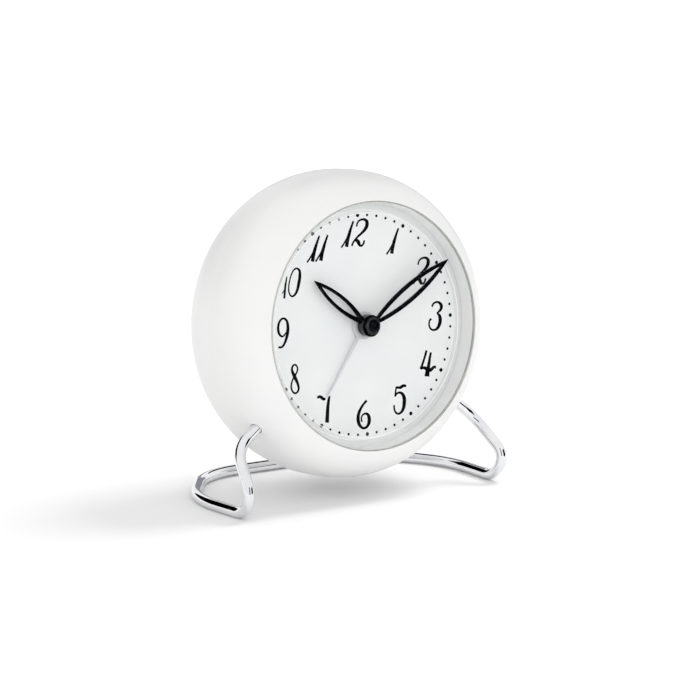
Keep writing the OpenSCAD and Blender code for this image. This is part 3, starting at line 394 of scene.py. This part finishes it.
# Case: two shells that meet in a fine line
SEAM_CHAMFER = 0.1
SEAM_R = CASE_R - SEAM_CHAMFER
LIP_EASE = 0.15
BACK_EASE = 1.2
INNER_STEPS = 12
SOCKET_ANGLE = 36.8
SOCKET_FWD = 10.4
ROD_R = 2
ROD_HOLE_GAP = 0.2
INNER_R = CASE_R - SHELL_WALL
KNOB_X = 14
SHAFT_HOLE_R = 2.1
BATTERY_DROP = 20.5
BAY_HALF_L = 27.8
BAY_HALF_H = 7.7
BAY_DEPTH = 19.3
BAY_WALL = 1.4
DOOR_HALF_L = 28.7
DOOR_HALF_H = 8.7
DOOR_RECESS = 1.9
HINGE_Y = -28.1
HINGE_Z = -25.4
HINGE_HOLE_R = 0.65
HINGE_HOLE_HALF_L = 29.9
SNOOZE_Y = 28
SNOOZE_HOLE = (26.6, 8.6)
SWITCH_Y = 14
SWITCH_SLOT = (8.6, 3.6)
SCREW_X, SCREW_Y = 34.01, 16.0
SCREW_HOLE_R = 1.5
SCREW_RECESS_R = 2.7
SCREW_RECESS = 1.5
SOUND_X, SOUND_Y = 22.0, 18.0
SOUND_HOLE_R = 0.9
SOUND_PITCH = 3.4
SOUND_RING_HOLES = 6
CUT_PAST = 1


def front_shell():
    inner_len = NOSE_LEN - SHELL_WALL
    inner_top = inner_len * (1 - (TUBE_OUT_R / INNER_R) ** NOSE_FULLNESS) ** (1 / NOSE_FULLNESS)
    outline = [Vector((SEAM_R, 0))]
    outline += bulge(CASE_R, NOSE_LEN, NOSE_FULLNESS, SEAM_CHAMFER, CASE_FRONT - LIP_EASE)
    outline += rounded([
        tuple(outline.pop()), (LIP_R, CASE_FRONT, LIP_EASE), (OPENING_R, CASE_FRONT, LIP_EASE),
        (OPENING_R, LEDGE_Z), (TUBE_R, LEDGE_Z, LIP_EASE), (TUBE_R, DIAL_Z), (TUBE_OUT_R, DIAL_Z)])
    outline += bulge(INNER_R, inner_len, NOSE_FULLNESS, 0, inner_top, INNER_STEPS)[::-1]
    outline.append(outline[0])
    piece = turned("front_shell", outline)
    holes = []
    for turn in (180 + SOCKET_ANGLE, -SOCKET_ANGLE):
        hole = pin(ROD_R + ROD_HOLE_GAP, TUBE_OUT_R, CASE_R + SHELL_WALL)
        holes.append(settle(hole, Matrix.Translation((0, 0, SOCKET_FWD * MM))
                            @ Matrix.Rotation(radians(turn), 4, "Z") @ Matrix.Rotation(pi / 2, 4, "Y")))
    cut(piece, holes)
    smooth(settle(piece, CLOCK))
    return finish(piece, "case_white", "clock", "front_case")


def rear_shell():
    inner_len = TAIL_LEN - SHELL_WALL
    inner_end = CASE_BACK - SHELL_WALL
    flat_r = bulge_r(CASE_BACK, CASE_R, TAIL_LEN, TAIL_FULLNESS)
    outline = [Vector((SEAM_R, 0))]
    outline += behind(bulge(CASE_R, TAIL_LEN, TAIL_FULLNESS, SEAM_CHAMFER, CASE_BACK - BACK_EASE / 2))
    outline += rounded([tuple(outline.pop()), (flat_r, -CASE_BACK, BACK_EASE), (0, -CASE_BACK),
                        (0, -inner_end)])
    outline += behind(bulge(INNER_R, inner_len, TAIL_FULLNESS, 0, inner_end, INNER_STEPS))[::-1]
    outline.append(outline[0])
    piece = turned("rear_shell", outline)
    bay_floor = -CASE_BACK + BAY_DEPTH
    cut(piece, [block(2 * (BAY_HALF_L + BAY_WALL), 2 * (BAY_HALF_H + BAY_WALL), -inner_end - BAY_WALL,
                      bay_floor + BAY_WALL, y=-BATTERY_DROP)], operation="UNION")
    low, high = -CASE_BACK - CUT_PAST, -inner_end + CUT_PAST
    cut(piece, [block(2 * BAY_HALF_L, 2 * BAY_HALF_H, low, bay_floor, y=-BATTERY_DROP)])
    cut(piece, [block(2 * DOOR_HALF_L, 2 * DOOR_HALF_H, low, -CASE_BACK + DOOR_RECESS, y=-BATTERY_DROP)])
    hinge = pin(HINGE_HOLE_R, -HINGE_HOLE_HALF_L, HINGE_HOLE_HALF_L, sides=SMALL_HOLE_SIDES)
    cut(piece, [settle(hinge, Matrix.Translation((0, HINGE_Y * MM, HINGE_Z * MM))
                       @ Matrix.Rotation(pi / 2, 4, "Y"))])
    holes = [pin(SHAFT_HOLE_R, low, high, x=side * KNOB_X) for side in (-1, 1)]
    snooze_w, snooze_h = SNOOZE_HOLE
    snooze = block(snooze_w - snooze_h, snooze_h, low, high, y=SNOOZE_Y)
    for side in (-1, 1):
        cut(snooze, [pin(snooze_h / 2, low, high, x=side * (snooze_w - snooze_h) / 2, y=SNOOZE_Y)], "UNION")
    holes += [snooze, block(*SWITCH_SLOT, low, high, y=SWITCH_Y)]
    sound_places = [(SOUND_X, SOUND_Y)]
    for hole in range(SOUND_RING_HOLES):
        angle = FULL_TURN * hole / SOUND_RING_HOLES
        sound_places.append((SOUND_X + SOUND_PITCH * cos(angle), SOUND_Y + SOUND_PITCH * sin(angle)))
    holes += [pin(SOUND_HOLE_R, low, high, *place, sides=SMALL_HOLE_SIDES) for place in sound_places]
    screws = [(x, y) for x in (-SCREW_X, SCREW_X) for y in (-SCREW_Y, SCREW_Y)]
    holes += [pin(SCREW_HOLE_R, -CASE_BACK + SCREW_RECESS / 2, high, *place) for place in screws]
    cut(piece, holes)
    cut(piece, [pin(SCREW_RECESS_R, low, -CASE_BACK + SCREW_RECESS, *place) for place in screws])
    smooth(settle(piece, CLOCK))
    return finish(piece, "case_white", "clock", "rear_case")


# Lens, light ring and the centre cap, all turned
LENS_R = 43.8
LENS_LOW, LENS_HIGH = 22.7, 23.9
LENS_CHAMFER = 0.5
GUIDE_R = 39.5
GUIDE_FOOT_R = 40.6
GUIDE_OUT_R = 43.2
GUIDE_SHOULDER_Z = 16.6
GUIDE_TOP_Z = 18.9
GUIDE_LIFT = 0.03
# Width of the ring's glowing edge bands, which carry a painted highlight
PAINTED_HIGHLIGHT_W = 0.3
CLEAR_EASE = 0.15
CAP_R = 2.5
CAP_COLLAR_R = 3.05
CAP_Z = 20.8
CAP_COLLAR_H = 1.2
CAP_H = 1.6
CAP_EASE = 0.2
CAP_STEPS = 96


def lens():
    piece = turned("lens_disc", rounded([
        (0, LENS_LOW), (LENS_R, LENS_LOW, CLEAR_EASE), (LENS_R, LENS_HIGH - LENS_CHAMFER, CLEAR_EASE),
        (LENS_R - LENS_CHAMFER, LENS_HIGH, CLEAR_EASE), (0, LENS_HIGH)]))
    finish(smooth(piece), "lens_clear", "clock", "lens")
    piece.data.materials.append(ground_edge)
    for face in piece.data.polygons:
        if face.center.xy.length > (LENS_R - LENS_CHAMFER) * MM:
            face.material_index = 1
    return settle(piece, CLOCK)


def light_ring():
    foot = DIAL_Z + GUIDE_LIFT
    outline = rounded([
        (GUIDE_FOOT_R, foot, CLEAR_EASE), (GUIDE_OUT_R, foot, CLEAR_EASE),
        (GUIDE_OUT_R, GUIDE_SHOULDER_Z, 2 * CLEAR_EASE), (GUIDE_R, GUIDE_TOP_Z, 2 * CLEAR_EASE)])
    piece = turned("light_ring", outline + outline[:1])
    finish(smooth(piece), "ring_clear", "clock", "light_guide")
    # The ring's top and the inner edge of its foot glow faintly: a painted highlight
    piece.data.materials.append(ring_edge_painted_highlight)
    for face in piece.data.polygons:
        low_down = face.center.z < (foot + PAINTED_HIGHLIGHT_W) * MM
        close_in = face.center.xy.length < (GUIDE_FOOT_R + PAINTED_HIGHLIGHT_W) * MM
        if (low_down and close_in) or face.center.z > (GUIDE_TOP_Z - PAINTED_HIGHLIGHT_W) * MM:
            face.material_index = 1
    return settle(piece, CLOCK)


def centre_cap():
    piece = turned("centre_cap", rounded([
        (0, CAP_Z), (CAP_COLLAR_R, CAP_Z, CAP_EASE / 2), (CAP_COLLAR_R, CAP_Z + CAP_COLLAR_H, CAP_EASE),
        (CAP_R, CAP_Z + CAP_H, CAP_EASE), (0, CAP_Z + CAP_H)]), CAP_STEPS)
    smooth(settle(piece, CLOCK))
    return finish(piece, "cap_black", "minute_group", "hand_cap")


# Stand: one bar, drawn straight and bent ten times
ROD_SIDES = 40
BEND_STEP = 4
ROD_END_R = 45.0
KNEE_R = 64.5
# The lower bends at the left, as (X, Y back from the clock frame's origin, height over the table). The
# radii are those of the rod's end, which has none, of the knee, and of these bends
STAND_BENDS = [(-55.3, -28, 10.3), (-54.1, -22.6, ROD_R), (-55.8, 7.7, ROD_R), (-33.1, 38, ROD_R)]
STAND_RADII = [0, 12, 5.5, 8.5, 38, 29.5]


def bent_rod(name, points, radii):
    """A circle drawn out along the straight runs and spun round the bends"""
    runs = [(after - before).normalized() for before, after in zip(points, points[1:])]
    deselect()
    bpy.ops.mesh.primitive_circle_add(vertices=ROD_SIDES, radius=ROD_R * MM)
    piece = bpy.context.object
    piece.name = name
    settle(piece, Matrix.Translation(points[0]) @ runs[0].to_track_quat("Z", "Y").to_matrix().to_4x4())
    edit(piece)
    here = points[0]
    for point, radius, run, after in zip(points[1:-1], radii[1:-1], runs, runs[1:]):
        turn = run.angle(after)
        reach = radius * tan(turn / 2)
        bend_start = point - run * reach
        axis = run.cross(after).normalized()
        bpy.ops.mesh.extrude_region_move(TRANSFORM_OT_translate={"value": bend_start - here})
        # With no window a spin turns left-handed, so the angle is given backwards
        bpy.ops.mesh.spin(steps=ceil(turn / radians(BEND_STEP)), angle=-turn, axis=axis,
                          center=bend_start + axis.cross(run) * radius)
        here = point + after * reach
    bpy.ops.mesh.extrude_region_move(TRANSFORM_OT_translate={"value": points[-1] - here})
    bpy.ops.mesh.select_all(action="SELECT")
    bpy.ops.mesh.remove_doubles(threshold=MERGE_GAP)
    bpy.ops.mesh.fill_holes(sides=0)
    bpy.ops.mesh.normals_make_consistent(inside=False)
    return piece


def stand():
    socket = radians(180 + SOCKET_ANGLE)
    points = [CLOCK @ (Vector((reach * cos(socket), reach * sin(socket), SOCKET_FWD)) * MM)
              for reach in (ROD_END_R, KNEE_R)]
    points += [Vector(place) * MM + Vector((0, CLOCK.translation.y, 0)) for place in STAND_BENDS]
    points += [Vector((-p.x, p.y, p.z)) for p in reversed(points)]
    radii = [radius * MM for radius in STAND_RADII + STAND_RADII[::-1]]
    piece = bent_rod("bent_rod", points, radii)
    smooth(piece)
    return finish(piece, "chrome", "clock", "stand")


# Moving pieces with their edges broken, as (CAD node, name, material, body, width of the broken edge)
HAND_EASE = 0.12
KNOB_EASE = 0.25
BUTTON_EASE = 0.3
SOFT_PIECES = [
    ("minute_hand", "minute_leaf", "hand_black", "minute_group", HAND_EASE),
    ("hour_hand", "hour_leaf", "hand_black", "hour_group", HAND_EASE),
    ("alarm_hand", "alarm_pointer", "hand_grey", "alarm_group", HAND_EASE),
    ("time_knob", "time_dial_knob", "knob_white", "time_set_group", KNOB_EASE),
    ("alarm_knob", "alarm_dial_knob", "knob_white", "alarm_set_group", KNOB_EASE),
    ("snooze_button", "snooze_bar", "knob_white", "snooze_group", BUTTON_EASE),
    ("switch_slider", "switch_tab", "knob_white", "switch_group", BUTTON_EASE),
    ("battery_door", "battery_hatch", "case_white", "door_group", HAND_EASE),
]

# Dial marks: dots and numerals in printed ink
DOT_RING_R = 38.8
HOUR_DOT_R = 0.71
MINUTE_DOT_R = 0.49
DOT_SIDES = 32
MINUTES = 60
MINUTES_PER_DOT = 5
INK_T = 0.05
INK_EASE = 0.02
NUMERAL_H = 10
PEN_STEPS = 5
PEN_ROUNDING = 2
PEN_WEIGHT = 1.7
INK_SMOOTH_ANGLE = 60
# Numerals as pen strokes, each a list of (x, y, width of the line) in shares of the numeral's height.
# The "short 1" is that of the 10
NUMERAL_STROKES = {
    "0": [[(0.62, 0.97, 0.040), (0.50, 0.92, 0.035), (0.39, 0.78, 0.033), (0.30, 0.56, 0.033),
           (0.245, 0.33, 0.035), (0.26, 0.12, 0.037), (0.36, 0.01, 0.040), (0.48, 0.05, 0.048),
           (0.59, 0.20, 0.066), (0.67, 0.43, 0.075), (0.73, 0.69, 0.075), (0.72, 0.88, 0.057),
           (0.62, 0.97, 0.040)]],
    "1": [[(0.59, 0.90, 0.045), (0.50, 0.72, 0.055), (0.38, 0.45, 0.080), (0.30, 0.23, 0.085),
           (0.245, 0.02, 0.090)],
          [(0.36, 0.43, 0.045), (0.26, 0.29, 0.040), (0.13, 0.13, 0.038), (0.02, 0.01, 0.045)]],
    "short 1": [[(0.24, 0.757, 0.026), (0.17, 0.50, 0.046), (0.125, 0.27, 0.055), (0.085, 0.0, 0.05)],
                [(0.0, 0.18, 0.018), (0.10, 0.29, 0.02)]],
    "2": [[(0.24, 0.69, 0.045), (0.275, 0.80, 0.040), (0.37, 0.89, 0.040), (0.50, 0.92, 0.045),
           (0.62, 0.90, 0.060), (0.69, 0.82, 0.085), (0.685, 0.70, 0.090), (0.60, 0.57, 0.075),
           (0.44, 0.44, 0.055), (0.27, 0.33, 0.048), (0.15, 0.23, 0.045), (0.05, 0.12, 0.045),
           (0.0, 0.02, 0.045)],
          [(0.13, 0.215, 0.040), (0.22, 0.20, 0.075), (0.29, 0.13, 0.092), (0.33, 0.04, 0.070),
           (0.40, 0.0, 0.045), (0.48, 0.04, 0.043), (0.55, 0.18, 0.050)]],
    "3": [[(0.18, 0.84, 0.050), (0.23, 0.93, 0.045), (0.34, 0.985, 0.042), (0.47, 0.98, 0.050),
           (0.56, 0.91, 0.075), (0.60, 0.81, 0.085), (0.55, 0.70, 0.065), (0.44, 0.62, 0.045),
           (0.38, 0.58, 0.035)],
          [(0.39, 0.59, 0.035), (0.44, 0.55, 0.055), (0.50, 0.47, 0.085), (0.52, 0.35, 0.095),
           (0.48, 0.19, 0.090), (0.39, 0.06, 0.070), (0.24, 0.0, 0.045), (0.10, 0.04, 0.043),
           (0.025, 0.15, 0.045), (0.02, 0.26, 0.045), (0.06, 0.37, 0.045), (0.13, 0.41, 0.050)]],
    "4": [[(0.32, 0.96, 0.061), (0.21, 0.69, 0.055), (0.10, 0.46, 0.059), (0.02, 0.31, 0.067)],
          [(0.03, 0.34, 0.067), (0.16, 0.35, 0.061), (0.30, 0.29, 0.085), (0.44, 0.24, 0.091),
           (0.54, 0.28, 0.073), (0.62, 0.33, 0.061), (0.71, 0.30, 0.055)],
          [(0.51, 0.87, 0.055), (0.44, 0.64, 0.067), (0.38, 0.39, 0.085), (0.32, 0.19, 0.112),
           (0.29, 0.02, 0.132)]],
    "5": [[(0.14, 0.96, 0.050), (0.26, 0.93, 0.055), (0.36, 0.94, 0.075), (0.46, 0.98, 0.065),
           (0.59, 0.95, 0.050)],
          [(0.15, 0.97, 0.045), (0.115, 0.82, 0.043), (0.08, 0.62, 0.045)],
          [(0.085, 0.65, 0.040), (0.17, 0.73, 0.045), (0.28, 0.75, 0.050), (0.40, 0.69, 0.070),
           (0.47, 0.55, 0.095), (0.47, 0.36, 0.095), (0.41, 0.15, 0.080), (0.30, 0.03, 0.055),
           (0.18, 0.0, 0.045), (0.07, 0.07, 0.045), (0.02, 0.20, 0.048), (0.02, 0.33, 0.045)]],
    "6": [[(0.43, 0.97, 0.055), (0.29, 0.86, 0.055), (0.14, 0.69, 0.065), (0.05, 0.52, 0.080),
           (0.02, 0.34, 0.090), (0.06, 0.16, 0.080), (0.16, 0.04, 0.060), (0.28, 0.0, 0.050),
           (0.41, 0.06, 0.065), (0.49, 0.21, 0.090), (0.49, 0.37, 0.085), (0.43, 0.48, 0.060),
           (0.33, 0.51, 0.045), (0.22, 0.47, 0.040), (0.16, 0.36, 0.040), (0.18, 0.23, 0.045)]],
    "7": [[(0.0, 0.93, 0.050), (0.09, 0.97, 0.060), (0.18, 0.93, 0.072), (0.28, 0.86, 0.062),
           (0.35, 0.88, 0.045)],
          [(0.52, 0.95, 0.055), (0.45, 0.67, 0.078), (0.40, 0.32, 0.090), (0.365, 0.02, 0.097)]],
    "8": [[(0.15, 0.60, 0.080), (0.09, 0.72, 0.068), (0.065, 0.84, 0.055), (0.105, 0.95, 0.045),
           (0.185, 0.99, 0.040), (0.265, 0.94, 0.040), (0.295, 0.82, 0.040), (0.245, 0.70, 0.040),
           (0.155, 0.59, 0.042), (0.055, 0.44, 0.040), (0.0, 0.25, 0.040), (0.035, 0.09, 0.042),
           (0.135, 0.0, 0.042), (0.235, 0.02, 0.045), (0.305, 0.14, 0.052), (0.285, 0.29, 0.060),
           (0.215, 0.46, 0.075), (0.15, 0.60, 0.080)]],
    "9": [[(0.39, 0.50, 0.042), (0.29, 0.42, 0.036), (0.19, 0.36, 0.038), (0.09, 0.42, 0.052),
           (0.03, 0.57, 0.062), (0.04, 0.75, 0.060), (0.12, 0.91, 0.050), (0.25, 0.98, 0.042),
           (0.37, 0.92, 0.052), (0.43, 0.75, 0.070), (0.42, 0.53, 0.080), (0.36, 0.31, 0.070),
           (0.26, 0.11, 0.055), (0.15, 0.0, 0.046), (0.0, 0.0, 0.045)]],
}
# Each numeral's digits, as (digit, left edge, foot) in millimetres from the dial's middle
NUMERALS = {
    "12": [("1", -7.8, 27.85), ("2", -3.05, 27.95)], "1": [("1", 11.55, 23.95)], "2": [("2", 23.0, 12.35)],
    "3": [("3", 29.0, -4.7)], "4": [("4", 24.35, -21.3)], "5": [("5", 12.0, -33.1)],
    "6": [("6", -3.9, -36.55)], "7": [("7", -20.7, -33.0)], "8": [("8", -31.35, -21.0)],
    "9": [("9", -35.9, -4.4)], "10": [("short 1", -33.35, 12.25), ("0", -32.9, 12.65)],
    "11": [("1", -22.5, 23.85), ("1", -18.95, 23.85)]}


def pen_stroke(points, x, y):
    """One line of ink through given points, as a curve whose width follows the pen"""
    curve = bpy.data.curves.new("stroke", "CURVE")
    curve.dimensions = "3D"
    curve.bevel_depth = NUMERAL_H * MM / 2
    curve.bevel_resolution = PEN_ROUNDING
    curve.resolution_u = PEN_STEPS
    curve.use_fill_caps = True
    line = curve.splines.new("BEZIER")
    line.bezier_points.add(len(points) - 1)
    for knot, (across, up, width) in zip(line.bezier_points, points):
        knot.co = ((x + across * NUMERAL_H) * MM, (y + up * NUMERAL_H) * MM, 0)
        knot.radius = width * PEN_WEIGHT
        knot.handle_left_type = knot.handle_right_type = "AUTO"
    pick(new_object("stroke", curve))
    bpy.ops.object.convert(target="MESH")
    return bpy.context.object


def numeral(number, digits):
    strokes = [pen_stroke(points, x, y) for digit, x, y in digits for points in NUMERAL_STROKES[digit]]
    piece = join(strokes, "numeral_" + number)
    flat = Matrix.Diagonal((1, 1, INK_T / piece.dimensions.z * MM, 1))
    settle(piece, CLOCK @ Matrix.Translation((0, 0, DIAL_Z * MM)) @ flat)
    smooth(piece, INK_SMOOTH_ANGLE)
    return finish(piece, "hand_black", "clock", material=printed_ink)


def dots(name, radius, minutes):
    deselect()
    bpy.ops.mesh.primitive_cylinder_add(vertices=DOT_SIDES, radius=radius * MM, depth=INK_T * MM)
    dot = bpy.context.object
    modify(dot, "BEVEL", width=INK_EASE * MM, segments=1, limit_method="ANGLE")
    copies = []
    for minute in minutes:
        angle = FULL_TURN * minute / MINUTES
        place = (DOT_RING_R * sin(angle) * MM, DOT_RING_R * cos(angle) * MM, DIAL_Z * MM)
        copies.append(settle(new_object(name, dot.data.copy()), Matrix.Translation(place)))
    bpy.data.objects.remove(dot)
    piece = settle(join(copies, name), CLOCK)
    return finish(piece, "hand_black", "clock", material=printed_ink)


for number, digits in NUMERALS.items():
    numeral(number, digits)
dots("hour_dots", HOUR_DOT_R, range(0, MINUTES, MINUTES_PER_DOT))
dots("minute_dots", MINUTE_DOT_R, [minute for minute in range(MINUTES) if minute % MINUTES_PER_DOT])
front_shell()
rear_shell()
lens()
light_ring()
centre_cap()
stand()
for node, name, slot, body, edge in SOFT_PIECES:
    finish(softened(node, name, edge), slot, body, node)

# Stage, in metres and watts: pale floor, white surroundings, soft lamps, and dark cards that mirrors see
FLOOR_SIZE = 12
FLOOR_SHADE = "#EFEFEF"
FLOOR_LIFT_NEAR, FLOOR_LIFT_FAR = 0.04, 0.6
FLOOR_NEAR, FLOOR_FAR = 0.12, 1.0
WORLD_LIGHT = 0.78
MIDDLE = (0, 0, 0.05)
# Lamps, as (name, place, size, power), all aimed at the clock's middle
LAMPS = [
    ("side_box", (-1.7, 0, 0.45), (1.2, 0.8), 1.4),
    ("left_box", (-0.9, -1.5, 0.4), (0.8, 0.6), 1.3),
    ("front_box", (-0.25, -1.7, 0.5), (1.0, 0.8), 3.5),
    ("top_box", (-0.1, 0.2, 1.5), (0.8, 0.8), 1.9),
]


def seen_straight(tree, low, high):
    """The high strength for what the eye sees, directly, mirrored or through glass, and else the low one"""
    path = add(tree, "ShaderNodeLightPath")
    most = path.outputs["Is Camera Ray"]
    for way in ("Is Glossy Ray", "Is Transmission Ray"):
        either = add(tree, "ShaderNodeMath", {"operation": "MAXIMUM"})
        tree.links.new(most, either.inputs[0])
        tree.links.new(path.outputs[way], either.inputs[1])
        most = either.outputs[0]
    return add(tree, "ShaderNodeMapRange", {"To Min": low, "To Max": high}, Value=most).outputs["Result"]


def floor_paper():
    """White paper: matt, and lifted to white for the eye, less so near the clock, where its shadow lies"""
    material = bpy.data.materials.new("white_paper_sweep")
    material.use_nodes = True
    tree = material.node_tree
    tree.nodes.remove(tree.nodes["Principled BSDF"])
    both = add(tree, "ShaderNodeAddShader")
    sheet = add(tree, "ShaderNodeBsdfDiffuse", {"Color": linear(FLOOR_SHADE)})
    place = add(tree, "ShaderNodeTexCoord").outputs["Object"]
    away = add(tree, "ShaderNodeVectorMath", {"operation": "LENGTH"})
    tree.links.new(place, away.inputs[0])
    lift = add(tree, "ShaderNodeMapRange", {"From Min": FLOOR_NEAR, "From Max": FLOOR_FAR,
                                            "To Min": FLOOR_LIFT_NEAR, "To Max": FLOOR_LIFT_FAR},
               Value=away.outputs["Value"])
    level = add(tree, "ShaderNodeMath", {"operation": "MULTIPLY"})
    tree.links.new(seen_straight(tree, 0.0, 1.0), level.inputs[0])
    tree.links.new(lift.outputs["Result"], level.inputs[1])
    glow = add(tree, "ShaderNodeEmission", Strength=level.outputs[0])
    tree.links.new(sheet.outputs[0], both.inputs[0])
    tree.links.new(glow.outputs[0], both.inputs[1])
    tree.links.new(both.outputs[0], tree.nodes["Material Output"].inputs["Surface"])
    return material


deselect()
bpy.ops.mesh.primitive_plane_add(size=FLOOR_SIZE)
floor = bpy.context.object
floor.name = "floor"
floor.data.materials.append(floor_paper())

world = bpy.data.worlds.new("studio")
bpy.context.scene.world = world
world.use_nodes = True
world.node_tree.nodes["Background"].inputs["Color"].default_value = (1, 1, 1, 1)
world.node_tree.links.new(seen_straight(world.node_tree, WORLD_LIGHT, 1.0),
                          world.node_tree.nodes["Background"].inputs["Strength"])


def matt_card(name, shade):
    """A card of one tone that mirrors nothing"""
    material = bpy.data.materials.new(name)
    material.use_nodes = True
    shader = material.node_tree.nodes["Principled BSDF"]
    shader.inputs["Base Color"].default_value = linear(shade)
    shader.inputs["Specular IOR Level"].default_value = 0
    return material


black_card = matt_card("black_card", "#000000")
grey_card = matt_card("grey_card", "#9A9AA2")


def card(name, place, target, width, height, material=black_card, behind_glass=False):
    """A card that shows only in mirrors, or also in those behind the lens"""
    deselect()
    bpy.ops.mesh.primitive_plane_add(size=1)
    piece = bpy.context.object
    piece.name = name
    piece.scale = (width, height, 1)
    aim = (Vector(target) - Vector(place)).to_track_quat("Z", "Y").to_matrix().to_4x4()
    settle(piece, Matrix.Translation(place) @ aim)
    piece.data.materials.append(material)
    piece.visible_camera = piece.visible_diffuse = piece.visible_shadow = False
    piece.visible_volume_scatter = False
    piece.visible_transmission = behind_glass


def soft_box(name, place, size, power):
    """A lamp that lights, and leaves the mirrors to the white surroundings"""
    lamp = new_object(name, bpy.data.lights.new(name, "AREA"))
    lamp.data.shape = "RECTANGLE"
    lamp.data.size, lamp.data.size_y = size
    lamp.data.energy = power
    lamp.location = place
    lamp.rotation_euler = (Vector(MIDDLE) - Vector(place)).to_track_quat("-Z", "Y").to_euler()
    lamp.visible_glossy = False
    return lamp


for lamp in LAMPS:
    soft_box(*lamp)
# One more lamp, high on the right, lights the floor alone, where it draws the clock's shadow to the left
floor_box = soft_box("floor_box", (0.6, -0.05, 0.9), (0.4, 0.4), 4.5)
floor_box.light_linking.receiver_collection = bpy.data.collections.new("floor_only")
floor_box.light_linking.receiver_collection.objects.link(floor)
card("lens_card", (0.25, -0.34, 0.09), (0, 0, 0.06), 0.3, 0.26, behind_glass=True)
card("back_card", (-0.5, 1.5, 0.78), (0, 0, 0.06), 1.5, 1.05)
card("high_card", (0.76, 0.92, 1.3), (0, 0, 0.06), 1.2, 1.3)
card("front_card", (-0.1, -0.28, 0.1), (-0.055, -0.03, 0.05), 0.08, 0.2)
card("bend_card", (0.94, 1.04, 0.2), (0, 0, 0.02), 0.9, 0.36, grey_card)
